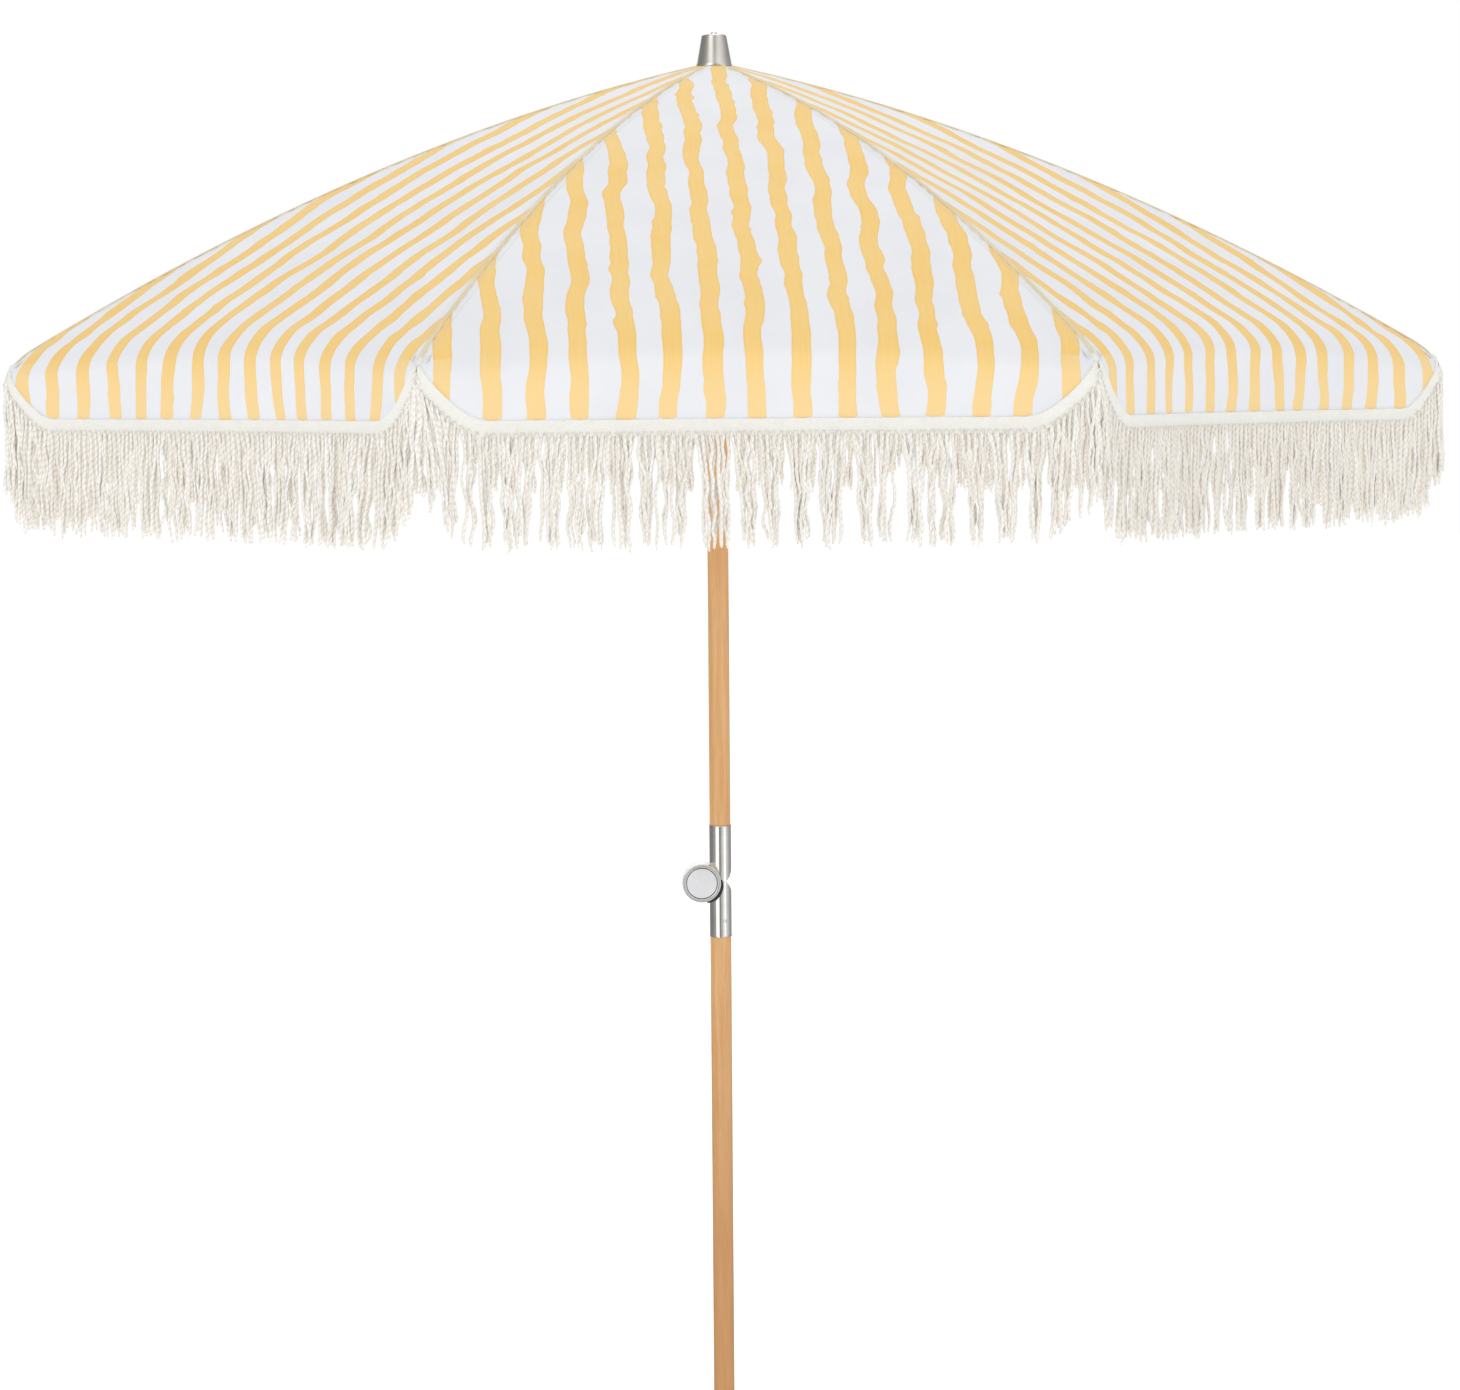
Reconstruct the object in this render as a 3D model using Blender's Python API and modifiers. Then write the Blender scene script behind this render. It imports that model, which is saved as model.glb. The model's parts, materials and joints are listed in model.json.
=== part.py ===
"""Beach umbrella: wooden two-piece pole with a tilt knuckle, folding canopy frame and fringed canopy.

The frame stands on the pole's foot: +Z runs up the pole and -Y is the front, with one canopy
panel centred on it. Every size is in metres.
"""

import math

import bmesh
import bpy
from mathutils import Matrix, Vector

# Clearances
TOUCH_GAP = 0.0003
SLIDE_GAP = 0.0005

# Canopy
TIP_RADIUS = 0.975
RIB_COUNT = 8
CANOPY_DROP = 0.4043
CANOPY_BULGE = 0.0451
CANVAS_THICK = 0.0015
CANVAS_EYE_RADIUS = 0.017
SEAM_GAP = 0.0006
RIM_ARCH = 0.045
VALANCE_DEPTH = 0.0735
VALANCE_THICK = 0.003
HEM_CORNER = 0.19
FRINGE_LENGTH = 0.146
VALANCE_END_GAP = 0.009

# Pole
POLE_RADIUS = 0.0147
PIVOT_HEIGHT = 1.100
APEX_ABOVE_PIVOT = 1.133
POINT_LENGTH = 0.150
POINT_TIP_RADIUS = 0.004
POINT_SOCKET_DEPTH = 0.038
POINT_WALL = 0.0012

# Crown hub
HUB_DROP = 0.018
HUB_RIM = 0.0055
HUB_FLANGE_BELOW = 0.008
HUB_FLANGE_ABOVE = 0.0075
HUB_COLLAR_WALL = 0.0028
HUB_NECK_LENGTH = 0.020
RING_WIRE_RADIUS = 0.0009
RING_GROOVE_WIDTH = 0.0028
WASHER_THICK = 0.0012
WASHER_RADIUS = 0.0265

# Finial
FINIAL_BASE_RADIUS = 0.0245
FINIAL_TOP_RADIUS = 0.0172
FINIAL_HEIGHT = 0.0425
FINIAL_EDGE_ROUND = 0.003
STUD_RADIUS = 0.004
STUD_DEPTH = 0.038
SCREW_HEAD_RADIUS = 0.004
SCREW_HEAD_HEIGHT = 0.0035

# Ribs and struts
ROD_RADIUS = 0.0025
EYE_RADIUS = 0.0033
TAB_THICK = 0.0032
ROD_IN_TAB = 0.004
TIP_BELOW_CANVAS = 0.0075
TIP_CAP_RADIUS = 0.0042
TIP_CAP_LENGTH = 0.018
STRUT_PLACE = 0.42
LUG_DROP = 0.009
PIN_RADIUS = 0.0015
STRUT_WIDTH = 0.0062
STRUT_DEPTH = 0.006
FORK_LENGTH = 0.022
STRUT_TAB_LENGTH = 0.050

# Runner
RUNNER_WALL = 0.003
RUNNER_ABOVE = 0.014
RUNNER_BELOW = 0.048
RUNNER_FLANGE_HALF = 0.005
CATCH_WIDTH = 0.004
CATCH_LENGTH = 0.044
CATCH_SLOT_DEPTH = 0.006
CATCH_PROUD = 0.0028
CATCH_LEAF = 0.0014

# Tilt knuckle
FERRULE_STEP = 0.0007
FERRULE_WALL = 0.0013
UPPER_FERRULE_LENGTH = 0.080
LOWER_FERRULE_LENGTH = 0.078
KNUCKLE_SOLID = 0.031
PIVOT_OFFSET = 0.027
LUG_RADIUS = 0.027
FRONT_LUG_DEPTH = 0.0195
REAR_LUG_DEPTH = 0.0165
FRONT_CUT_GAP = 0.0035
KNUCKLE_WAIST = 0.0032
UPPER_ROUND_TALL = 0.021
LOWER_ROUND_TALL = 0.0165
SLEEVE_RADIUS = 0.0065
SLEEVE_WALL = 0.002
SLEEVE_HEAD_RADIUS = 0.0085
SLEEVE_HEAD_THICK = 0.0027
CAP_NUT_RADIUS = 0.014
CAP_NUT_HEIGHT = 0.0047
BUTTON_RADIUS = 0.0214
BUTTON_THICK = 0.004
BUTTON_PROUD = 0.001
RECESS_DEPTH = 0.011
PLUNGER_REACH = 0.010
SPRING_RADIUS = 0.012
SPRING_WIRE = 0.0007
SPRING_TURNS = 3
RIVET_RADIUS = 0.0016
RIVET_HEAD = 0.0009
RIVET_DEPTH = 0.008
RIVET_FROM_PIVOT = 0.0547

# Worked out from the sizes above
HALF_STEP = math.pi / RIB_COUNT
APEX_HEIGHT = PIVOT_HEIGHT + APEX_ABOVE_PIVOT
HUB_HEIGHT = APEX_HEIGHT - HUB_DROP
TIP_HEIGHT = APEX_HEIGHT - CANOPY_DROP
RUNNER_BORE = POLE_RADIUS + SLIDE_GAP
RUNNER_RADIUS = RUNNER_BORE + RUNNER_WALL
PIVOT_RADIUS = RUNNER_RADIUS + EYE_RADIUS + SLIDE_GAP
HUB_RADIUS = PIVOT_RADIUS + HUB_RIM
TAB_LENGTH = math.hypot(HUB_FLANGE_BELOW, HUB_RIM) + SLIDE_GAP + ROD_IN_TAB
FERRULE_RADIUS = POLE_RADIUS + FERRULE_STEP
KNUCKLE_ROUND_WIDE = FERRULE_RADIUS - KNUCKLE_WAIST
RIB_SPAN = TIP_RADIUS - PIVOT_RADIUS
RIB_FALL = HUB_HEIGHT - TIP_HEIGHT + TIP_BELOW_CANVAS
SPIGOT_RADIUS = FERRULE_RADIUS - FERRULE_WALL - TOUCH_GAP
NOTCH_WIDTH = TAB_THICK + 2 * SLIDE_GAP
STRUT_X = STRUT_PLACE * RIB_SPAN
COLLAR_RADIUS = POLE_RADIUS + TOUCH_GAP + HUB_COLLAR_WALL


def rib_height(share):
    """Height of a rib's centre line over the hub pivot, at a share of its span."""
    return -RIB_FALL * share + 4 * CANOPY_BULGE * share * (1 - share)


STRUT_Z = rib_height(STRUT_PLACE) - LUG_DROP
STRUT_LENGTH = math.hypot(STRUT_X, STRUT_Z)
RUNNER_HEIGHT = HUB_HEIGHT + 2 * STRUT_Z


def canvas_height(radius):
    """Height of the canvas top over a point of a rib line."""
    share = radius / TIP_RADIUS
    return APEX_HEIGHT - CANOPY_DROP * share + 4 * CANOPY_BULGE * share * (1 - share)


# ---- scene and small helpers

for old in list(bpy.data.objects):
    bpy.data.objects.remove(old, do_unlink=True)

parts = bpy.data.collections.new("beach_umbrella")
cutters = bpy.data.collections.new("cutters")
for group in (parts, cutters):
    bpy.context.scene.collection.children.link(group)


def make_material(name, colour, roughness, metallic=0.0):
    material = bpy.data.materials.new(name)
    material.use_nodes = True
    shader = material.node_tree.nodes["Principled BSDF"]
    shader.inputs["Base Color"].default_value = (*colour, 1.0)
    shader.inputs["Roughness"].default_value = roughness
    shader.inputs["Metallic"].default_value = metallic
    material.diffuse_color = (*colour, 1.0)
    return material


WOOD = make_material("wood", (0.68, 0.38, 0.14), 0.45)
STEEL = make_material("steel", (0.62, 0.61, 0.58), 0.25, 1.0)
CHROME = make_material("chrome", (0.72, 0.72, 0.72), 0.1, 1.0)
COATED = make_material("coated_steel", (0.85, 0.85, 0.82), 0.4)
CANVAS = make_material("canvas", (0.90, 0.72, 0.38), 0.85)
COTTON = make_material("cotton", (0.82, 0.76, 0.64), 0.9)
BADGE = make_material("badge", (0.80, 0.81, 0.82), 0.3, 0.6)
NYLON = make_material("nylon", (0.88, 0.87, 0.83), 0.5)


def place(thing, group):
    for old in list(thing.users_collection):
        old.objects.unlink(thing)
    group.objects.link(thing)
    if group == cutters:
        thing.hide_render = True
        thing.display_type = "WIRE"


def add_object(name, mesh, material=None, group=parts):
    thing = bpy.data.objects.new(name, mesh)
    place(thing, group)
    if material:
        mesh.materials.clear()
        mesh.materials.append(material)
    return thing


def baked(thing):
    """The object's evaluated mesh in the object's own axes, with its doubles welded."""
    bpy.context.view_layer.update()
    graph = bpy.context.evaluated_depsgraph_get()
    mesh = bpy.data.meshes.new_from_object(thing.evaluated_get(graph))
    work = bmesh.new()
    work.from_mesh(mesh)
    bmesh.ops.remove_doubles(work, verts=work.verts, dist=0.00001)
    work.to_mesh(mesh)
    work.free()
    return mesh


def settle(thing):
    """Turn an object with modifiers, or a curve, into a plain mesh object of the same name."""
    mesh = baked(thing)
    name, where = thing.name, thing.matrix_world.copy()
    group = thing.users_collection[0]
    bpy.data.objects.remove(thing, do_unlink=True)
    plain = add_object(name, mesh, group=group)
    plain.matrix_world = where
    return plain


def turned(name, outline, material=None, steps=32, ring=False, group=parts):
    """Turn an outline of (radius, height) points about Z; a ring outline is closed on itself."""
    mesh = bpy.data.meshes.new(name)
    points = [(radius, 0, height) for radius, height in outline]
    edges = [(i, i + 1) for i in range(len(points) - 1)]
    if ring:
        edges.append((len(points) - 1, 0))
    mesh.from_pydata(points, edges, [])
    thing = add_object(name, mesh, material, group)
    screw = thing.modifiers.new("turn", "SCREW")
    screw.steps = steps
    screw.render_steps = steps
    screw.use_merge_vertices = True
    screw.merge_threshold = 0.00001
    return thing


def rod(name, points, radius, material=None, group=parts):
    """A round bar through the points, with closed ends, as a mesh."""
    curve = bpy.data.curves.new(name, "CURVE")
    curve.dimensions = "3D"
    curve.bevel_depth = radius
    curve.bevel_resolution = 2
    curve.use_fill_caps = True
    spline = curve.splines.new("POLY")
    spline.points.add(len(points) - 1)
    for point, where in zip(spline.points, points):
        point.co = (*where, 1)
    thing = add_object(name, curve, material, group)
    return settle(thing)


def cylinder(name, radius, start, end, group=cutters, steps=32, material=None):
    """A solid cylinder between two points."""
    start, end = Vector(start), Vector(end)
    work = bmesh.new()
    bmesh.ops.create_cone(
        work, cap_ends=True, segments=steps, radius1=radius, radius2=radius, depth=(end - start).length
    )
    mesh = bpy.data.meshes.new(name)
    work.to_mesh(mesh)
    work.free()
    turn = (end - start).to_track_quat("Z", "Y").to_matrix().to_4x4()
    mesh.transform(Matrix.Translation((start + end) / 2) @ turn)
    return add_object(name, mesh, material, group)


def block(name, low, high, group=cutters, material=None):
    """A box from its lowest to its highest corner."""
    low, high = Vector(low), Vector(high)
    work = bmesh.new()
    bmesh.ops.create_cube(work, size=1.0)
    mesh = bpy.data.meshes.new(name)
    work.to_mesh(mesh)
    work.free()
    mesh.transform(Matrix.Translation((low + high) / 2) @ Matrix.Diagonal((*(high - low), 1)))
    return add_object(name, mesh, material, group)


def combine(thing, other, operation):
    boolean = thing.modifiers.new(operation.lower(), "BOOLEAN")
    boolean.operation = operation
    boolean.solver = "EXACT"
    boolean.object = other


def smooth(thing, angle=35):
    for face in thing.data.polygons:
        face.use_smooth = True
    thing.data.set_sharp_from_angle(angle=math.radians(angle))


def around(centre, radius, first, last, count):
    """Points on an arc in the (radius, height) plane; the angles are in degrees."""
    steps = [math.radians(first + (last - first) * i / count) for i in range(count + 1)]
    return [(centre[0] + radius * math.cos(a), centre[1] + radius * math.sin(a)) for a in steps]


def mid_angle(index):
    """Direction of a panel's middle; panel 1 lies on +X."""
    return 2 * HALF_STEP * index


def rib_angle(index):
    return mid_angle(index) + HALF_STEP


def spread(name, mesh, material, radius, height, direction, local=(0, 0, 0)):
    """One copy of a repeated piece, with its origin on its joint."""
    thing = add_object(name, mesh)
    if not mesh.materials:
        mesh.materials.append(material)
    turn = Matrix.Rotation(direction, 4, "Z")
    thing.matrix_world = turn @ Matrix.Translation((radius, 0, height)) @ Matrix.Translation(local)
    smooth(thing)
    return thing


# ---- poles


def make_upper_pole():
    top = HUB_HEIGHT + HUB_FLANGE_ABOVE - TOUCH_GAP
    shoulder = PIVOT_HEIGHT + UPPER_FERRULE_LENGTH + TOUCH_GAP
    foot = PIVOT_HEIGHT + KNUCKLE_SOLID
    hole = STUD_RADIUS + TOUCH_GAP
    floor = APEX_HEIGHT - STUD_DEPTH - 2 * TOUCH_GAP
    outline = [
        (0, floor),
        (hole, floor),
        (hole, top),
        (POLE_RADIUS, top),
        (POLE_RADIUS, shoulder),
        (SPIGOT_RADIUS, shoulder),
        (SPIGOT_RADIUS, foot),
        (0, foot),
    ]
    pole = turned("upper_pole", outline, WOOD)
    low, high = catch_span()
    slot = block(
        "catch_slot",
        (-CATCH_WIDTH / 2 - TOUCH_GAP, POLE_RADIUS - CATCH_SLOT_DEPTH, low - TOUCH_GAP),
        (CATCH_WIDTH / 2 + TOUCH_GAP, POLE_RADIUS + SLIDE_GAP, high + TOUCH_GAP),
    )
    combine(pole, slot, "DIFFERENCE")
    combine(pole, rivet_hole("upper_rivet_hole", 180, RIVET_FROM_PIVOT), "DIFFERENCE")
    smooth(settle(pole))


def make_lower_pole():
    shoulder = PIVOT_HEIGHT - LOWER_FERRULE_LENGTH - TOUCH_GAP
    top = PIVOT_HEIGHT - KNUCKLE_SOLID
    seat = POINT_LENGTH - POINT_SOCKET_DEPTH + TOUCH_GAP
    outline = [
        (0, top),
        (SPIGOT_RADIUS, top),
        (SPIGOT_RADIUS, shoulder),
        (POLE_RADIUS, shoulder),
        (POLE_RADIUS, seat),
        (0, seat),
    ]
    pole = turned("lower_pole", outline, WOOD)
    combine(pole, rivet_hole("lower_rivet_hole", 19, -RIVET_FROM_PIVOT), "DIFFERENCE")
    smooth(settle(pole))


def make_ground_point():
    bore = POLE_RADIUS + TOUCH_GAP
    seat = POINT_LENGTH - POINT_SOCKET_DEPTH
    outline = [
        (0, seat),
        (bore, seat),
        (bore, POINT_LENGTH),
        (bore + POINT_WALL, POINT_LENGTH),
        (bore + POINT_WALL, seat - 0.004),
        (POINT_TIP_RADIUS, 0),
        (0, 0),
    ]
    smooth(turned("ground_point", outline, STEEL))


# ---- tilt knuckle


def rivet_line(degrees, above, start, end):
    """Two points on a line square to the pole; 0 degrees is the front and it turns towards +X."""
    turn = math.radians(degrees)
    way = Vector((math.sin(turn), -math.cos(turn), 0))
    height = Vector((0, 0, PIVOT_HEIGHT + above))
    return way * start + height, way * end + height


def rivet_hole(name, degrees, above):
    start, end = rivet_line(degrees, above, FERRULE_RADIUS - RIVET_DEPTH - TOUCH_GAP, 2 * FERRULE_RADIUS)
    return cylinder(name, RIVET_RADIUS + TOUCH_GAP, start, end, steps=12)


def make_rivet(name, degrees, above):
    start, end = rivet_line(degrees, above, FERRULE_RADIUS - RIVET_DEPTH, FERRULE_RADIUS + RIVET_HEAD)
    smooth(cylinder(name, RIVET_RADIUS, start, end, group=parts, steps=12, material=STEEL))


def rounding(name, side, tall):
    """The waste outside a quarter round on the +X end of a knuckle; side is +1 above the pivot."""
    end = PIVOT_HEIGHT + side * TOUCH_GAP
    past = 2 * TOUCH_GAP
    inner = FERRULE_RADIUS - KNUCKLE_ROUND_WIDE
    outline = [(FERRULE_RADIUS + past, end - side * past), (FERRULE_RADIUS + past, end + side * tall)]
    for i in range(1, 9):
        turn = math.pi / 2 * i / 8
        across = inner + KNUCKLE_ROUND_WIDE * math.cos(turn)
        outline.append((across, end + side * tall * (1 - math.sin(turn))))
    outline.append((inner, end - side * past))
    curve = bpy.data.curves.new(name, "CURVE")
    curve.dimensions = "2D"
    curve.fill_mode = "BOTH"
    curve.extrude = 2 * FERRULE_RADIUS
    spline = curve.splines.new("POLY")
    spline.points.add(len(outline) - 1)
    spline.use_cyclic_u = True
    for point, (across, height) in zip(spline.points, outline):
        point.co = (across, height, 0, 1)
    thing = add_object(name, curve, group=cutters)
    thing.rotation_euler = (math.pi / 2, 0, 0)
    bpy.context.view_layer.update()
    return settle(thing)


def pivot_line(front, back):
    """Two points on the tilt axis, at distances along +Y."""
    return (-PIVOT_OFFSET, front, PIVOT_HEIGHT), (-PIVOT_OFFSET, back, PIVOT_HEIGHT)


def make_upper_knuckle():
    bore = FERRULE_RADIUS - FERRULE_WALL
    low = PIVOT_HEIGHT + TOUCH_GAP
    floor = PIVOT_HEIGHT + KNUCKLE_SOLID - TOUCH_GAP
    top = PIVOT_HEIGHT + UPPER_FERRULE_LENGTH
    outline = [(0, floor), (bore, floor), (bore, top), (FERRULE_RADIUS, top), (FERRULE_RADIUS, low), (0, low)]
    knuckle = turned("upper_knuckle", outline, STEEL, steps=40)
    combine(knuckle, rounding("upper_round", 1, UPPER_ROUND_TALL), "DIFFERENCE")
    combine(
        knuckle, cylinder("upper_back_cut", LUG_RADIUS + SLIDE_GAP, *pivot_line(-TOUCH_GAP, 0.04)), "DIFFERENCE"
    )
    lug = cylinder("front_lug", LUG_RADIUS, *pivot_line(-FRONT_LUG_DEPTH, -TOUCH_GAP), steps=48)
    combine(knuckle, lug, "UNION")
    floor_y = -FRONT_LUG_DEPTH + RECESS_DEPTH
    recess = cylinder("button_recess", BUTTON_RADIUS + SLIDE_GAP, *pivot_line(-0.04, floor_y), steps=48)
    combine(knuckle, recess, "DIFFERENCE")
    combine(knuckle, cylinder("upper_bore", SLEEVE_RADIUS + TOUCH_GAP, *pivot_line(-0.03, 0.03)), "DIFFERENCE")
    combine(knuckle, rivet_hole("upper_ferrule_hole", 180, RIVET_FROM_PIVOT), "DIFFERENCE")
    smooth(settle(knuckle))


def make_lower_knuckle():
    bore = FERRULE_RADIUS - FERRULE_WALL
    high = PIVOT_HEIGHT - TOUCH_GAP
    floor = PIVOT_HEIGHT - KNUCKLE_SOLID + TOUCH_GAP
    foot = PIVOT_HEIGHT - LOWER_FERRULE_LENGTH
    outline = [
        (0, high),
        (FERRULE_RADIUS, high),
        (FERRULE_RADIUS, foot),
        (bore, foot),
        (bore, floor),
        (0, floor),
    ]
    knuckle = turned("lower_knuckle", outline, STEEL, steps=40)
    combine(knuckle, rounding("lower_round", -1, LOWER_ROUND_TALL), "DIFFERENCE")
    combine(
        knuckle, cylinder("lower_front_cut", LUG_RADIUS + FRONT_CUT_GAP, *pivot_line(-0.04, TOUCH_GAP)), "DIFFERENCE"
    )
    lug = cylinder("rear_lug", LUG_RADIUS, *pivot_line(TOUCH_GAP, REAR_LUG_DEPTH), steps=48)
    combine(knuckle, lug, "UNION")
    combine(knuckle, cylinder("lower_bore", SLEEVE_RADIUS + TOUCH_GAP, *pivot_line(-0.03, 0.03)), "DIFFERENCE")
    combine(knuckle, rivet_hole("lower_ferrule_hole", 19, -RIVET_FROM_PIVOT), "DIFFERENCE")
    smooth(settle(knuckle))


def lay_on_pivot(thing, at):
    """Stand a turned piece on the tilt axis: its +Z points to the front, -Y."""
    thing.matrix_world = Matrix.Translation((-PIVOT_OFFSET, at, PIVOT_HEIGHT)) @ Matrix.Rotation(math.pi / 2, 4, "X")
    smooth(thing)


def make_pivot():
    bore = SLEEVE_RADIUS - SLEEVE_WALL
    recess_floor = FRONT_LUG_DEPTH - RECESS_DEPTH
    back = -REAR_LUG_DEPTH
    head = recess_floor + TOUCH_GAP
    outline = [
        (SLEEVE_HEAD_RADIUS, head + SLEEVE_HEAD_THICK),
        (SLEEVE_HEAD_RADIUS, head),
        (SLEEVE_RADIUS, head),
        (SLEEVE_RADIUS, back),
        (bore, back),
        (bore, head + SLEEVE_HEAD_THICK),
    ]
    lay_on_pivot(turned("pivot_sleeve", outline, STEEL, steps=24, ring=True), 0)
    dome = [(0, 0), (CAP_NUT_RADIUS, 0), (CAP_NUT_RADIUS, -0.4 * CAP_NUT_HEIGHT)]
    dome += [(0.72 * CAP_NUT_RADIUS, -0.85 * CAP_NUT_HEIGHT), (0, -CAP_NUT_HEIGHT)]
    lay_on_pivot(turned("pivot_cap", dome, CHROME, steps=24), REAR_LUG_DEPTH + TOUCH_GAP)


def make_button():
    face = FRONT_LUG_DEPTH + BUTTON_PROUD
    back = face - BUTTON_THICK
    edge = 0.0012
    outline = [(0, face), (BUTTON_RADIUS - edge, face), (BUTTON_RADIUS, face - edge), (BUTTON_RADIUS, back), (0, back)]
    lay_on_pivot(turned("tilt_button", outline, BADGE, steps=40), 0)
    radius = SLEEVE_RADIUS - SLEEVE_WALL - TOUCH_GAP
    high = back - TOUCH_GAP
    stem = [(0, high), (radius, high), (radius, -PLUNGER_REACH), (0, -PLUNGER_REACH)]
    lay_on_pivot(turned("lock_plunger", stem, STEEL, steps=16), 0)
    low = FRONT_LUG_DEPTH - RECESS_DEPTH + TOUCH_GAP + SPRING_WIRE
    rise = back - TOUCH_GAP - SPRING_WIRE - low
    count = SPRING_TURNS * 10
    coil = []
    for i in range(count + 1):
        turn = 2 * math.pi * i / 10
        level = low + rise * i / count
        coil.append((SPRING_RADIUS * math.cos(turn), SPRING_RADIUS * math.sin(turn), level))
    lay_on_pivot(rod("button_spring", coil, SPRING_WIRE, STEEL), 0)


# ---- crown, finial and runner


def notch_all(thing, inner, outer, low, high, name):
    """Cut one radial slot for each rib through a flange."""
    for index in range(RIB_COUNT):
        slot = block(f"{name}_{index + 1}", (inner, -NOTCH_WIDTH / 2, low), (outer, NOTCH_WIDTH / 2, high))
        slot.data.transform(Matrix.Rotation(rib_angle(index), 4, "Z"))
        combine(thing, slot, "DIFFERENCE")


def make_hub():
    bore = POLE_RADIUS + TOUCH_GAP
    top = HUB_HEIGHT + HUB_FLANGE_ABOVE
    low = HUB_HEIGHT - HUB_FLANGE_BELOW
    foot = low - HUB_NECK_LENGTH
    groove = HUB_HEIGHT - RING_WIRE_RADIUS - TOUCH_GAP
    outline = [
        (bore, top),
        (PIVOT_RADIUS - RING_GROOVE_WIDTH / 2, top),
        (PIVOT_RADIUS - RING_GROOVE_WIDTH / 2, groove),
        (PIVOT_RADIUS + RING_GROOVE_WIDTH / 2, groove),
        (PIVOT_RADIUS + RING_GROOVE_WIDTH / 2, top),
        (HUB_RADIUS, top),
        (HUB_RADIUS, low),
        (COLLAR_RADIUS, low),
        (COLLAR_RADIUS, foot),
        (bore, foot),
    ]
    hub = turned("crown_hub", outline, STEEL, steps=40, ring=True)
    notch_all(hub, COLLAR_RADIUS, 2 * HUB_RADIUS, low - TOUCH_GAP, top + TOUCH_GAP, "hub_notch")
    smooth(settle(hub))
    ring = around((PIVOT_RADIUS, HUB_HEIGHT), RING_WIRE_RADIUS, 90, -270, 8)[:-1]
    smooth(turned("hub_ring", ring, STEEL, steps=40, ring=True))


def make_top():
    low = HUB_HEIGHT + HUB_FLANGE_ABOVE + TOUCH_GAP
    high = low + WASHER_THICK
    hole = STUD_RADIUS + TOUCH_GAP
    outline = [(hole, high), (WASHER_RADIUS, high), (WASHER_RADIUS, low), (hole, low)]
    smooth(turned("top_washer", outline, STEEL, steps=32, ring=True))
    base = canvas_height(FINIAL_BASE_RADIUS) + TOUCH_GAP
    inside = canvas_height(CANVAS_EYE_RADIUS) + TOUCH_GAP
    top = base + FINIAL_HEIGHT
    round_centre = (FINIAL_TOP_RADIUS - FINIAL_EDGE_ROUND, top - FINIAL_EDGE_ROUND)
    profile = [(0, top)] + around(round_centre, FINIAL_EDGE_ROUND, 90, 10, 3)
    profile += [
        (FINIAL_BASE_RADIUS, base),
        (CANVAS_EYE_RADIUS, inside),
        (STUD_RADIUS, inside),
        (STUD_RADIUS, APEX_HEIGHT - STUD_DEPTH),
        (0, APEX_HEIGHT - STUD_DEPTH),
    ]
    smooth(turned("finial", profile, STEEL, steps=32))
    seat = top + TOUCH_GAP
    head = [(0, seat + SCREW_HEAD_HEIGHT), (0.6 * SCREW_HEAD_RADIUS, seat + 0.85 * SCREW_HEAD_HEIGHT)]
    head += [(SCREW_HEAD_RADIUS, seat + 0.3 * SCREW_HEAD_HEIGHT), (SCREW_HEAD_RADIUS, seat), (0, seat)]
    smooth(turned("finial_screw", head, STEEL, steps=16))


def make_runner():
    low = RUNNER_HEIGHT - RUNNER_FLANGE_HALF
    high = RUNNER_HEIGHT + RUNNER_FLANGE_HALF
    outline = [
        (RUNNER_BORE, RUNNER_HEIGHT + RUNNER_ABOVE),
        (RUNNER_RADIUS, RUNNER_HEIGHT + RUNNER_ABOVE),
        (RUNNER_RADIUS, high),
        (HUB_RADIUS, high),
        (HUB_RADIUS, low),
        (RUNNER_RADIUS, low),
        (RUNNER_RADIUS, RUNNER_HEIGHT - RUNNER_BELOW),
        (RUNNER_BORE, RUNNER_HEIGHT - RUNNER_BELOW),
    ]
    runner = turned("runner", outline, NYLON, steps=40, ring=True)
    notch_all(runner, RUNNER_RADIUS, 2 * HUB_RADIUS, low - TOUCH_GAP, high + TOUCH_GAP, "runner_notch")
    smooth(settle(runner))


def catch_span():
    """Lowest and highest point of the catch, right under the raised runner."""
    high = RUNNER_HEIGHT - RUNNER_BELOW - SLIDE_GAP
    return high - CATCH_LENGTH, high


def make_catch():
    low, high = catch_span()
    inner = POLE_RADIUS - CATCH_SLOT_DEPTH + SLIDE_GAP
    outline = [
        (inner, low),
        (inner + CATCH_LEAF, low),
        (POLE_RADIUS + CATCH_PROUD, high - 0.003),
        (POLE_RADIUS + CATCH_PROUD, high),
        (POLE_RADIUS, high),
        (inner, low + 0.6 * CATCH_LENGTH),
    ]
    curve = bpy.data.curves.new("runner_catch", "CURVE")
    curve.dimensions = "2D"
    curve.fill_mode = "BOTH"
    curve.extrude = CATCH_WIDTH / 2
    spline = curve.splines.new("POLY")
    spline.points.add(len(outline) - 1)
    spline.use_cyclic_u = True
    for point, (out, height) in zip(spline.points, outline):
        point.co = (out, height, 0, 1)
    thing = add_object("runner_catch", curve, STEEL)
    stand = Matrix(((0, 0, -1, 0), (1, 0, 0, 0), (0, 1, 0, 0), (0, 0, 0, 1)))
    thing.matrix_world = Matrix.Diagonal((-1, 1, 1, 1)) @ stand
    bpy.context.view_layer.update()
    plain = settle(thing)
    plain.data.transform(plain.matrix_world)
    plain.matrix_world = Matrix.Identity(4)
    if sum(face.normal.z * face.center.z * face.area for face in plain.data.polygons) < 0:
        plain.data.flip_normals()


# ---- ribs, struts and canopy


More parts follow.
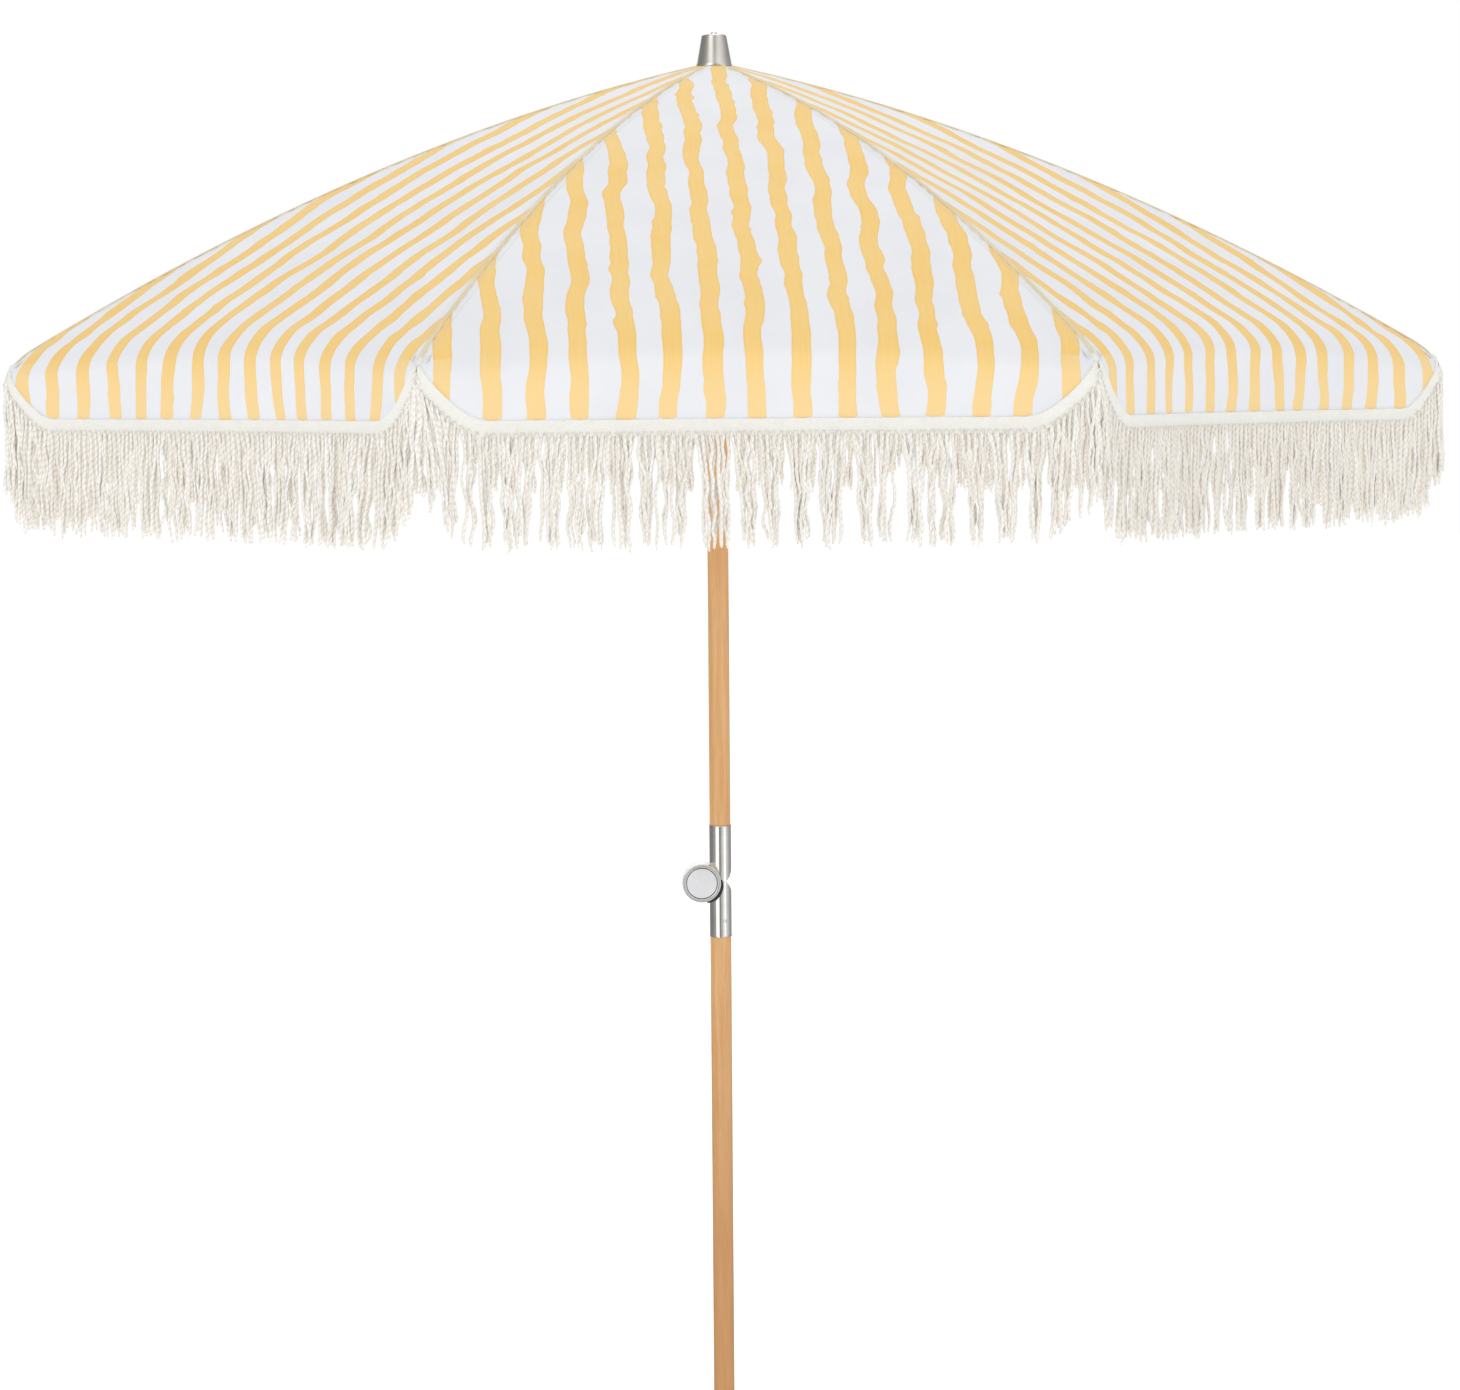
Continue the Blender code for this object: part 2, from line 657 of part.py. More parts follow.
def make_ribs():
    count = 10
    start = TAB_LENGTH - ROD_IN_TAB
    points = []
    for i in range(count + 1):
        along = start + (RIB_SPAN - start) * i / count
        points.append((along, 0, rib_height(along / RIB_SPAN)))
    rib = rod("rib_blank", points, ROD_RADIUS, group=cutters)
    slope = math.atan2(rib_height(TAB_LENGTH / RIB_SPAN), TAB_LENGTH)
    tab = block("rib_tab", (0, -TAB_THICK / 2, -EYE_RADIUS), (TAB_LENGTH, TAB_THICK / 2, EYE_RADIUS))
    tab.data.transform(Matrix.Rotation(-slope, 4, "Y"))
    combine(rib, tab, "UNION")
    half = TAB_THICK / 2
    combine(rib, cylinder("rib_eye", EYE_RADIUS, (0, -half, 0), (0, half, 0), steps=16), "UNION")
    lug_top = rib_height(STRUT_PLACE)
    lug = block("rib_lug", (STRUT_X - EYE_RADIUS, -half, STRUT_Z), (STRUT_X + EYE_RADIUS, half, lug_top))
    combine(rib, lug, "UNION")
    lug_end = cylinder("rib_lug_end", EYE_RADIUS, (STRUT_X, -half, STRUT_Z), (STRUT_X, half, STRUT_Z), steps=16)
    combine(rib, lug_end, "UNION")
    hole = RING_WIRE_RADIUS + SLIDE_GAP
    combine(rib, cylinder("ring_hole", hole, (0, -0.01, 0), (0, 0.01, 0), steps=12), "DIFFERENCE")
    hole = PIN_RADIUS + TOUCH_GAP
    pin_hole = cylinder("pin_hole", hole, (STRUT_X, -0.01, STRUT_Z), (STRUT_X, 0.01, STRUT_Z), steps=12)
    combine(rib, pin_hole, "DIFFERENCE")
    mesh = settle(rib).data
    for index in range(RIB_COUNT):
        spread(f"rib_{index + 1}", mesh, COATED, PIVOT_RADIUS, HUB_HEIGHT, rib_angle(index))


def make_rib_tips():
    bore = ROD_RADIUS + TOUCH_GAP
    front = TIP_CAP_RADIUS
    profile = [(0, front), (0.6 * TIP_CAP_RADIUS, 0.8 * front), (TIP_CAP_RADIUS, 0.25 * front)]
    profile += [(TIP_CAP_RADIUS, front - TIP_CAP_LENGTH), (bore, front - TIP_CAP_LENGTH)]
    profile += [(bore, TOUCH_GAP), (0, TOUCH_GAP)]
    mesh = baked(turned("tip_blank", profile, steps=16, group=cutters))
    near = rib_height(0.9)
    end = rib_height(1.0)
    slope = math.atan2(end - near, 0.1 * RIB_SPAN)
    mesh.transform(Matrix.Translation((RIB_SPAN, 0, end)) @ Matrix.Rotation(math.pi / 2 - slope, 4, "Y"))
    for index in range(RIB_COUNT):
        spread(f"rib_tip_{index + 1}", mesh, NYLON, PIVOT_RADIUS, HUB_HEIGHT, rib_angle(index))


def make_struts():
    """A strut lies along +X from its fork at the rib, and is then swung down to the runner."""
    half = TAB_THICK / 2
    wide = STRUT_WIDTH / 2
    deep = STRUT_DEPTH / 2
    bar_end = STRUT_LENGTH - STRUT_TAB_LENGTH
    strut = block("strut_blank", (0, -wide, -deep), (bar_end, wide, deep))
    combine(strut, cylinder("fork_end", deep, (0, -wide, 0), (0, wide, 0), steps=16), "UNION")
    combine(strut, block("strut_tab", (bar_end - 0.002, -half, -deep), (STRUT_LENGTH, half, deep)), "UNION")
    end = cylinder("strut_eye", deep, (STRUT_LENGTH, -half, 0), (STRUT_LENGTH, half, 0), steps=16)
    combine(strut, end, "UNION")
    gap = half + TOUCH_GAP
    combine(strut, block("fork_slot", (-0.01, -gap, -0.01), (FORK_LENGTH, gap, 0.01)), "DIFFERENCE")
    combine(strut, cylinder("fork_pin", PIN_RADIUS, (0, -wide, 0), (0, wide, 0), steps=12), "UNION")
    mesh = settle(strut).data
    lean = math.atan2(STRUT_X, -STRUT_Z)
    mesh.transform(Matrix.Rotation(math.pi / 2 + lean, 4, "Y"))
    for index in range(RIB_COUNT):
        radius = PIVOT_RADIUS + STRUT_X
        spread(f"strut_{index + 1}", mesh, COATED, radius, HUB_HEIGHT + STRUT_Z, rib_angle(index))


def rim_line(across):
    """Distance along the rib line of the canopy's edge, from -1 at one rib to +1 at the next."""
    return TIP_RADIUS - RIM_ARCH * (1 - across * across)


def hem_line(across):
    """Height of the valance's hem below the rib tips: level, with round corners up to the tips."""
    room = (1 - abs(across)) / HEM_CORNER
    return -VALANCE_DEPTH * (1 - max(0.0, 1 - room) ** 1.7)


def grid_sheet(name, columns, rows, shape, thickness, material):
    """A grid bent by shape(across, down), with -1..1 across and 0..1 down, made solid."""
    work = bmesh.new()
    bmesh.ops.create_grid(work, x_segments=rows, y_segments=columns, size=1.0)
    for corner in work.verts:
        corner.co = shape(corner.co.y, (corner.co.x + 1) / 2)
    bmesh.ops.recalc_face_normals(work, faces=work.faces)
    mesh = bpy.data.meshes.new(name)
    work.to_mesh(mesh)
    work.free()
    thing = add_object(name, mesh, material, cutters)
    solid = thing.modifiers.new("solid", "SOLIDIFY")
    solid.thickness = thickness
    solid.offset = -1
    return thing


def make_panels():
    middle = math.cos(HALF_STEP)
    side = math.sin(HALF_STEP)

    def shape(across, down):
        along = CANVAS_EYE_RADIUS + down * (rim_line(across) - CANVAS_EYE_RADIUS)
        half = along * side - SEAM_GAP
        return Vector((along * middle - PIVOT_RADIUS * middle, across * half, canvas_height(along) - HUB_HEIGHT))

    sheet = grid_sheet("panel_blank", 6, 8, shape, CANVAS_THICK, CANVAS)
    if sheet.data.polygons[0].normal.z < 0:
        sheet.data.flip_normals()
    mesh = baked(sheet)
    for index in range(RIB_COUNT):
        radius = PIVOT_RADIUS * middle
        spread(f"canopy_panel_{index + 1}", mesh, CANVAS, radius, HUB_HEIGHT, mid_angle(index))


def make_valances():
    middle = math.cos(HALF_STEP)
    side = math.sin(HALF_STEP)

    def shape(across, down):
        along = rim_line(across)
        half = along * side - VALANCE_END_GAP
        top = canvas_height(along) - CANVAS_THICK - 2 * SLIDE_GAP
        low = TIP_HEIGHT + hem_line(across) - FRINGE_LENGTH
        height = top + down * (low - top)
        return Vector(((along - rim_line(0)) * middle, across * half, height - canvas_height(rim_line(0))))

    sheet = grid_sheet("valance_blank", 8, 2, shape, VALANCE_THICK, COTTON)
    if sheet.data.polygons[0].normal.x < 0:
        sheet.data.flip_normals()
    mesh = baked(sheet)
    radius = rim_line(0) * middle
    height = canvas_height(rim_line(0))
    for index in range(RIB_COUNT):
        spread(f"fringed_valance_{index + 1}", mesh, COTTON, radius, height, mid_angle(index))


make_lower_pole()
make_ground_point()
make_upper_pole()
make_upper_knuckle()
make_lower_knuckle()
make_pivot()
make_button()
make_rivet("upper_rivet", 180, RIVET_FROM_PIVOT)
make_rivet("lower_rivet", 19, -RIVET_FROM_PIVOT)
make_hub()
make_top()
make_runner()
make_catch()
make_ribs()
make_rib_tips()
make_struts()
make_panels()
make_valances()
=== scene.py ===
import json
import math
import random

import bmesh
import bpy
from mathutils import Matrix, Vector, noise


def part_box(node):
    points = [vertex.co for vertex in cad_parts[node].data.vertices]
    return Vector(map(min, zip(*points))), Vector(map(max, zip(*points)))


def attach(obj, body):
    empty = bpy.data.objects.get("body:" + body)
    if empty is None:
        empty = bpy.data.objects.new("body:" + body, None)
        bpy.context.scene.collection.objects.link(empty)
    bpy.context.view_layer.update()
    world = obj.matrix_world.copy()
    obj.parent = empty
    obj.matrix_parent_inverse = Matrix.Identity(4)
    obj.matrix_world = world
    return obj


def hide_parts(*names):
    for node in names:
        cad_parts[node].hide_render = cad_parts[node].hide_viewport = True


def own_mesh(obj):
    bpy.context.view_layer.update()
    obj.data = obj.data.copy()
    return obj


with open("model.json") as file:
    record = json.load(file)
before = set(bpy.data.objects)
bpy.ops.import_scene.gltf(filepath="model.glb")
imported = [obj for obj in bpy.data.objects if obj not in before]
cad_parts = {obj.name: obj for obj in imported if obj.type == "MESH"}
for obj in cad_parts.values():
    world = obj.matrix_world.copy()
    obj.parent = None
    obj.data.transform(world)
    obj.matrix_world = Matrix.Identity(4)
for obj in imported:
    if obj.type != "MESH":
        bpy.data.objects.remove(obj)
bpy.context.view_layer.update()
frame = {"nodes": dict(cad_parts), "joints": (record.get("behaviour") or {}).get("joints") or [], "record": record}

nodes = frame["nodes"]
joints = {joint["name"]: joint for joint in frame["joints"]}
print("frame loaded:", len(nodes), "nodes")

# places read from the frame, in metres
panelCount = sum(name.startswith("canopy_panel_") for name in nodes)
halfStep = math.pi / panelCount
cosHalf, sinHalf = math.cos(halfStep), math.sin(halfStep)
tiltPivot = Vector(joints["canopy_tilt"]["pos_m"])
rimPivot = Vector(joints["valance_1_hang"]["pos_m"])
panelLow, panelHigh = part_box("canopy_panel_1")

# the canopy's cut; a user may change the cloth's sag, folds and hem
canopy = {
    "seamGap": 0.0006,      # what the frame's panels leave between them
    "cadCloth": 0.0015,     # the frame's panel thickness
    "cadEye": 0.017,        # and the radius of its hole at the crown
    "bulge": 0.0451,        # how far a rib bows up at its middle
    "eyeRadius": 0.0175,
    "length": 1.02,         # of a flat panel, from crown to rim
    "archArea": 1.1,        # the rim's arch on the slope, against its plan
    "sag": 0.0084,
    "sagLow": 1.4,          # above 1 the sag is deepest nearer the rim
    "closedHalf": 0.0348,   # half a gathered panel's width at the rib tips
    "roll": 0.024,          # width of the soft bend at the rim
    "rollDrop": 0.006,
    "thick": 0.0008,
    "hemDrop": 0.0735,
    "hemCorner": 0.19,      # share of a half rim over which the hem rises to its end
    "hemRound": 1.7,
    "hemEnd": 0.011,
    "bend": 0.022,          # how far down the valance the cloth is still turning
    "foldDepth": 0.0027,
    "wrinkle": 0.0016,
    "fan": 0.0016,          # creases that run from a rib tip
    "fanRays": 17,
    "fanReach": 0.16,
    "pucker": 0.0005,       # small puckers along a seam
    "puckerPitch": 0.021,
    "puckerReach": 0.010,
    "stillRim": 0.04,       # creases die out towards the rim and the seams
    "stillSeam": 0.03,
}
tipRadius = (panelHigh.y + canopy["seamGap"]) / sinHalf
rimArch = tipRadius - rimPivot.x / cosHalf
rimLength = 2 * tipRadius * sinHalf
tipHeight = panelLow.z + canopy["cadCloth"]
eyeShare = canopy["cadEye"] / tipRadius
bow = 4 * canopy["bulge"]
canopyDrop = (panelHigh.z - tipHeight - bow * eyeShare * (1 - eyeShare)) / (1 - eyeShare)
apexHeight = tipHeight + canopyDrop
# the frame's joints by name, with their limits
limits = {joint["name"]: joint for joint in frame["record"]["behaviour"]["joints"]}


# camera, light and floor

camera = {
    "distance": 4.402,      # metres, and the angles below in degrees
    "belowApex": 0.428,
    "around": -2.99,
    "turn": -0.20,
    "pitch": 5.74,
    "roll": -0.42,
    "lens": 78.1,
}


def placeCamera():
    data = bpy.data.cameras.new("view")
    data.lens = camera["lens"]
    data.sensor_width = 36
    data.clip_end = 200
    eye = bpy.data.objects.new("view", data)
    bpy.context.scene.collection.objects.link(eye)
    angles = (camera[key] for key in ("around", "turn", "pitch", "roll"))
    around, turn, pitch, roll = (math.radians(angle) for angle in angles)
    heading = around + turn
    x, y, flat = -math.sin(heading), math.cos(heading), math.cos(pitch)
    forward = Vector((x * flat, y * flat, -math.sin(pitch)))
    level = Vector((math.cos(heading), math.sin(heading), 0))
    upright = level.cross(forward)
    right = level * math.cos(roll) + upright * math.sin(roll)
    up = upright * math.cos(roll) - level * math.sin(roll)
    stand = Matrix((right, up, -forward)).transposed().to_4x4()
    reach = camera["distance"]
    where = (reach * math.sin(around), -reach * math.cos(around), apexHeight - camera["belowApex"])
    eye.matrix_world = Matrix.Translation(where) @ stand
    bpy.context.scene.camera = eye


def addLight(name, where, size, watts):
    data = bpy.data.lights.new(name, "AREA")
    data.shape = "RECTANGLE"
    data.size, data.size_y = size
    data.energy = watts
    lamp = bpy.data.objects.new(name, data)
    bpy.context.scene.collection.objects.link(lamp)
    lamp.location = where
    aim = Vector(studio["aim"]) - Vector(where)
    lamp.rotation_euler = aim.to_track_quat("-Z", "Y").to_euler()
    lamp.visible_camera = False


studio = {
    "worldLight": 0.80,
    "backdrop": 1.0,
    "floorGlow": 0.45,
    "floorPaint": (0.90, 0.90, 0.90),
    "floorSize": 60,
    "aim": (0, 0, 1.7),
    "lamps": {              # where each stands, its size and its watts
        "key": ((-2.6, -5.2, 3.4), (3.2, 3.2), 34),
        "fill": ((4.2, -4.0, 1.6), (1.4, 3.6), 10),
        "top": ((0.5, 0.5, 6.0), (4.0, 4.0), 52),
    },
    # how bright the room is in metal: place round it and level, from the front,
    # by the left side, the back and the right side, to the front again
    "bands": [
        (0.0, 0.30), (0.03, 0.34), (0.055, 1.7), (0.12, 1.8), (0.16, 0.50), (0.28, 0.30),
        (0.43, 0.32), (0.46, 1.4), (0.51, 1.5), (0.55, 0.42), (0.62, 0.40), (0.72, 0.50),
        (0.80, 0.95), (0.90, 1.25), (0.955, 1.0), (0.985, 0.32), (1.0, 0.30),
    ],
}


def makeWorld():
    # white to the camera; metal sees a soft room with a few dark bands
    world = bpy.data.worlds.new("studio")
    bpy.context.scene.world = world
    sky = Finish("studio", world, "Background")
    x, y, _ = sky.parts(sky.node("ShaderNodeTexCoord", None, None, "Generated"))
    bearing = {"Value": x.maths("ARCTAN2", y), "From Min": -math.pi, "From Max": math.pi}
    turn = sky.node("ShaderNodeMapRange", None, bearing)
    stops = [(place, (level, level, level)) for place, level in studio["bands"]]
    bands = sky.node("ShaderNodeValToRGB", {"stops": stops}, {"Fac": turn})
    glossy = sky.node("ShaderNodeLightPath", None, None, "Is Glossy Ray")
    seen = Wire(sky, glossy.socket.node.outputs["Is Camera Ray"])
    sky.set("Color", sky.blend(glossy, (1, 1, 1), bands))
    levels = {"Value": seen, "To Min": studio["worldLight"], "To Max": studio["backdrop"]}
    sky.set("Strength", sky.node("ShaderNodeMapRange", None, levels))


def makeStudio():
    bpy.context.scene.view_settings.view_transform = "Standard"
    for name, (where, size, watts) in studio["lamps"].items():
        addLight(name, where, size, watts)
    makeWorld()
    bpy.ops.mesh.primitive_plane_add(size=studio["floorSize"], location=(0, 0, 0))
    floor = bpy.context.object
    floor.name = "floor"
    paint = Finish("floor_paint")
    paint.set("Base Color", studio["floorPaint"])
    paint.set("Roughness", 1.0)
    paint.set("Specular IOR Level", 0.0)
    paint.set("Emission Color", (1, 1, 1))
    paint.set("Emission Strength", studio["floorGlow"])
    floor.data.materials.append(paint.material)
    floor.visible_glossy = False


# a shader socket that takes part in expressions; each operator adds its Math node
class Wire:
    def __init__(self, finish, socket):
        self.finish = finish
        self.socket = socket

    def maths(self, operation, *others):
        inputs = dict(enumerate((self, *others)))
        return self.finish.node("ShaderNodeMath", {"operation": operation}, inputs)

    def __add__(self, other):
        return self.maths("ADD", other)

    __radd__ = __add__

    def __sub__(self, other):
        return self.maths("SUBTRACT", other)

    def __rsub__(self, other):
        return self.finish.node("ShaderNodeMath", {"operation": "SUBTRACT"}, {0: other, 1: self})

    def __mul__(self, other):
        return self.maths("MULTIPLY", other)

    __rmul__ = __mul__

    def __truediv__(self, other):
        return self.maths("DIVIDE", other)

    def __lt__(self, other):
        return self.maths("LESS_THAN", other)

    def __gt__(self, other):
        return self.maths("GREATER_THAN", other)

    def __mod__(self, other):
        return self.maths("FLOORED_MODULO", other)

    def __abs__(self):
        return self.maths("ABSOLUTE")

    def floor(self):
        return self.maths("FLOOR")

    def sine(self):
        return self.maths("SINE")

    def ease(self, low, high):
        # smooth step: 0 up to low, 1 from high on
        values = {"Value": self, "From Min": low, "From Max": high}
        return self.finish.node("ShaderNodeMapRange", {"interpolation_type": "SMOOTHSTEP"}, values)


# one material, or the world: its shader and its nodes
class Finish:
    def __init__(self, name, world=None, shader="Principled BSDF"):
        self.material = world or bpy.data.materials.new(name)
        self.material.use_nodes = True
        self.tree = self.material.node_tree
        self.shader = self.tree.nodes[shader]

    def feed(self, socket, value):
        if isinstance(value, Wire):
            self.tree.links.new(value.socket, socket)
        elif isinstance(value, (tuple, list)) and socket.type == "RGBA":
            socket.default_value = (*value, 1.0)[:4]
        else:
            socket.default_value = value

    def node(self, kind, settings=None, values=None, out=0):
        made = self.tree.nodes.new(kind)
        for key, value in (settings or {}).items():
            if key == "stops":
                made.color_ramp.interpolation = "EASE"
                ramp = made.color_ramp.elements
                for place, _ in value[2:]:
                    ramp.new(place)
                for element, (place, colour) in zip(ramp, value):
                    element.position = place
                    element.color = (*colour, 1.0)
            else:
                setattr(made, key, value)
        for key, value in (values or {}).items():
            self.feed(made.inputs[key], value)
        return Wire(self, made.outputs[out])

    def parts(self, vector):
        split = self.node("ShaderNodeSeparateXYZ", None, {"Vector": vector})
        outputs = split.socket.node.outputs
        return [Wire(self, outputs[axis]) for axis in ("X", "Y", "Z")]

    def join(self, x, y, z=0.0):
        return self.node("ShaderNodeCombineXYZ", None, {"X": x, "Y": y, "Z": z})

    def scaled(self, vector, scale):
        return self.node("ShaderNodeVectorMath", {"operation": "MULTIPLY"}, {0: vector, 1: scale})

    def uv(self, name):
        return self.node("ShaderNodeUVMap", {"uv_map": name}, None, "UV")

    def place(self):
        return self.node("ShaderNodeTexCoord", None, None, "Object")

    def noise(self, vector, scale=1.0, detail=2.0, rough=0.5):
        values = {"Vector": vector, "Scale": scale, "Detail": detail, "Roughness": rough}
        return self.node("ShaderNodeTexNoise", None, values)

    def blend(self, factor, first, second):
        mix = self.node("ShaderNodeMix", {"data_type": "RGBA"}).socket.node
        self.feed(mix.inputs[0], factor)
        self.feed(mix.inputs[6], first)
        self.feed(mix.inputs[7], second)
        return Wire(self, mix.outputs[2])

    def bump(self, height, distance, strength=1.0):
        values = {"Height": height, "Distance": distance, "Strength": strength}
        self.set("Normal", self.node("ShaderNodeBump", None, values))

    def set(self, name, value):
        self.feed(self.shader.inputs[name], value)


# materials

stripes = {
    "pitch": 0.0494,
    "halfWidth": 0.0105,
    "wander": 0.032,        # how far a stripe leaves its own line
    "swell": 0.0055,
    "waver": 0.0038,        # of a stripe's edges
    "knob": 0.00285,        # how far the knobs on an edge stand out
    "knobBand": (0.62, 0.76),
    "edge": 0.0005,         # half the soft width of an edge
    "endRagged": 0.006,     # how unevenly the stripes stop above the hem
    "endRound": 0.15,
    "laneStep": 3.17,       # keeps one stripe's noise away from the next one's
    "canvas": (0.800, 0.815, 0.850),
    "canvasShade": (0.760, 0.775, 0.815),
    "paint": (0.870, 0.560, 0.155),
    "paintThin": (0.885, 0.615, 0.215),
    "paintPool": (0.800, 0.460, 0.110),
    "paintLit": (0.900, 0.660, 0.320),
    "pool": 0.40,           # how much darker the paint is along its edges
    "poolBand": (0.0004, 0.0026),
    "lit": 0.75,            # how much paler the stripes of the hanging flap are painted, as painted light for light through the cloth
    "litBand": (0.02, 0.10),
    "thread": 0.0012,
    "fleck": (0.55, 0.52, 0.47),
    "stitch": 0.0045,       # from the seam to the first row of stitches
    "stitchBand": (0.0003, 0.0007),
    "dash": (0.0042, 0.0030),
    "stitchColour": (0.84, 0.80, 0.70),
    "stitchEnd": 0.15,      # the rows stop this far above the hem
    # a painted shadow line along the edge of each felled seam: how far from the seam, how wide, what colour
    "felledShadow": 0.0075,
    "felledShadowBand": (0.0034, 0.0046),
    "felledShadowColour": (0.55, 0.50, 0.42),
    "ribLength": 1.05,      # metres along the bowed rib for a metre of its plan
}
clothStretch = 1.0 / cosHalf * stripes["ribLength"]


def makeCanvas(name="striped_canvas", fade=0.0):
    cloth = Finish(name)
    across, down, _ = cloth.parts(cloth.uv("cloth"))
    fromHem, _, _ = cloth.parts(cloth.uv("hem"))
    lotX, lotY, _ = cloth.parts(cloth.uv("lot"))
    pitch = stripes["pitch"]
    number = (across / pitch + 0.5).floor()
    inside = across - number * pitch
    lane = number * stripes["laneStep"] + lotX

    def lump(shift, scale, detail=2.0):
        return cloth.noise(cloth.join(lane + shift, down * scale + lotY), 1.0, detail)

    wander = (lump(0.0, 8.0) - 0.5) * stripes["wander"]
    swell = (lump(40.0, 9.0) - 0.5) * stripes["swell"] + stripes["halfWidth"]
    offset = inside - wander

    def edge(shift):
        # a small steady waver, and now and then a knob
        knob = lump(shift + 9.0, 21.0, 1.0).ease(*stripes["knobBand"]) * stripes["knob"]
        return swell + (lump(shift, 30.0) - 0.5) * stripes["waver"] + knob

    depth = (edge(70.0) - offset).maths("MINIMUM", edge(110.0) + offset)
    # each stripe stops a little short of the hem, some sooner than others
    ragged = cloth.noise(cloth.join(lane, 0.0), 1.0, 1.0) * stripes["endRagged"]
    depth = depth.maths("MINIMUM", fromHem - (ragged + abs(offset) * stripes["endRound"]))
    mask = depth.ease(-stripes["edge"], stripes["edge"])
    streak = cloth.noise(cloth.join(across * 420.0, down * 14.0 + lotY), 1.0, 3.0, 0.6)
    cloud = cloth.noise(cloth.join(lane, down * 9.0 + lotY))
    thinness = (streak * 0.6 + cloud * 0.7 - 0.15).ease(0.25, 0.75)
    paint = cloth.blend(thinness, stripes["paint"], stripes["paintThin"])
    pool = (1 - depth.ease(*stripes["poolBand"])) * stripes["pool"]
    paint = cloth.blend(pool, paint, stripes["paintPool"])
    # painted light: the cloth lets no light through, so the hanging flap's stripes are painted paler in its place
    lit = (1 - fromHem.ease(*stripes["litBand"])) * stripes["lit"]
    paint = cloth.blend(lit, paint, stripes["paintLit"])
    mottle = cloth.noise(cloth.join(across * 7.0 + lotX, down * 7.0), 1.0, 3.0)
    canvas = cloth.blend(mottle.ease(0.3, 0.75), stripes["canvas"], stripes["canvasShade"])
    turns = 2 * math.pi / stripes["thread"]
    weave = (across * turns).sine() * (down * turns).sine()
    seam = down * (math.tan(halfStep) / clothStretch) - abs(across)
    nearRow = 1 - abs(seam - stripes["stitch"]).ease(*stripes["stitchBand"])
    farRow = 1 - abs(seam - 2.4 * stripes["stitch"]).ease(*stripes["stitchBand"])
    dashPitch, dashLength = stripes["dash"]
    sewn = fromHem > stripes["stitchEnd"]
    stitch = (nearRow + farRow) * ((down % dashPitch) < dashLength) * sewn
    colour = cloth.blend(mask * (1 - fade), canvas, paint)
    colour = cloth.blend(weave * 0.035 + 0.035, colour, stripes["fleck"])
    # painted shade: a brown shadow line beside each seam
    felledShadow = (1 - abs(seam - stripes["felledShadow"]).ease(*stripes["felledShadowBand"])) * sewn * 0.10
    colour = cloth.blend(felledShadow, colour, stripes["felledShadowColour"])
    colour = cloth.blend(stitch * 0.55, colour, stripes["stitchColour"])
    cloth.set("Base Color", colour)
    cloth.set("Roughness", 0.88 - mask * 0.22 + streak * mask * 0.12)
    cloth.set("Sheen Weight", 0.12)
    cloth.set("Sheen Roughness", 0.5)
    cloth.set("Specular IOR Level", 0.25)
    height = weave * (1 - mask * 0.55) * 0.10 + mask * 0.18
    height += streak * mask * 0.25 + stitch * 0.9
    cloth.bump(height, 0.0006, 0.7)
    return cloth.material


tapeLook = {"thread": 0.0016, "fleck": (0.5, 0.48, 0.44)}


def makeTapeCloth(name, pale, shade):
    cloth = Finish(name)
    x, y, z = cloth.parts(cloth.place())
    turns = 2 * math.pi / tapeLook["thread"]
    weave = ((x + y) * turns).sine() * ((z + y - x) * turns).sine()
    mottle = cloth.noise(cloth.place(), 14.0, 3.0)
    colour = cloth.blend(mottle.ease(0.3, 0.7), pale, shade)
    cloth.set("Base Color", cloth.blend(weave * 0.05 + 0.05, colour, tapeLook["fleck"]))
    cloth.set("Roughness", mottle * 0.1 + 0.82)
    cloth.set("Sheen Weight", 0.1)
    cloth.bump(weave, 0.0003, 0.6)
    return cloth.material


cottonLook = {
    "pale": (0.93, 0.92, 0.88),
    "cream": (0.90, 0.86, 0.79),
    # the darker tone: painted shade in the grooves of the twist, and darker flecks of fibre
    "deep": (0.60, 0.525, 0.42),
    "ply": 0.0075,          # metres of cord for one turn of its twist
    "braid": (0.845, 0.835, 0.785),
    "braidShade": (0.820, 0.810, 0.755),
    "chevron": 0.008,
    "braidRow": 0.0034,
}


def makeBraid():
    braid = Finish("cotton_header_braid")
    across, down, _ = braid.parts(braid.uv("cloth"))
    chevron = abs((across % cottonLook["chevron"]) - cottonLook["chevron"] / 2) * 1.1
    rows = ((down + chevron) * (2 * math.pi / cottonLook["braidRow"])).sine()
    fuzz = braid.noise(braid.join(across * 380.0, down * 380.0), 1.0, 3.0, 0.6)
    tone = braid.noise(braid.join(across * 60.0, down * 60.0), 1.0, 2.0)
    colour = braid.blend(tone.ease(0.3, 0.7), cottonLook["braid"], cottonLook["braidShade"])
    colour = braid.blend((0.40 - fuzz) * 0.5, colour, cottonLook["deep"])
    braid.set("Base Color", colour)
    braid.set("Roughness", fuzz * 0.15 + 0.82)
    braid.set("Sheen Weight", 0.25)
    braid.bump(rows * 0.5 + fuzz, 0.0004, 0.8)
    return braid.material


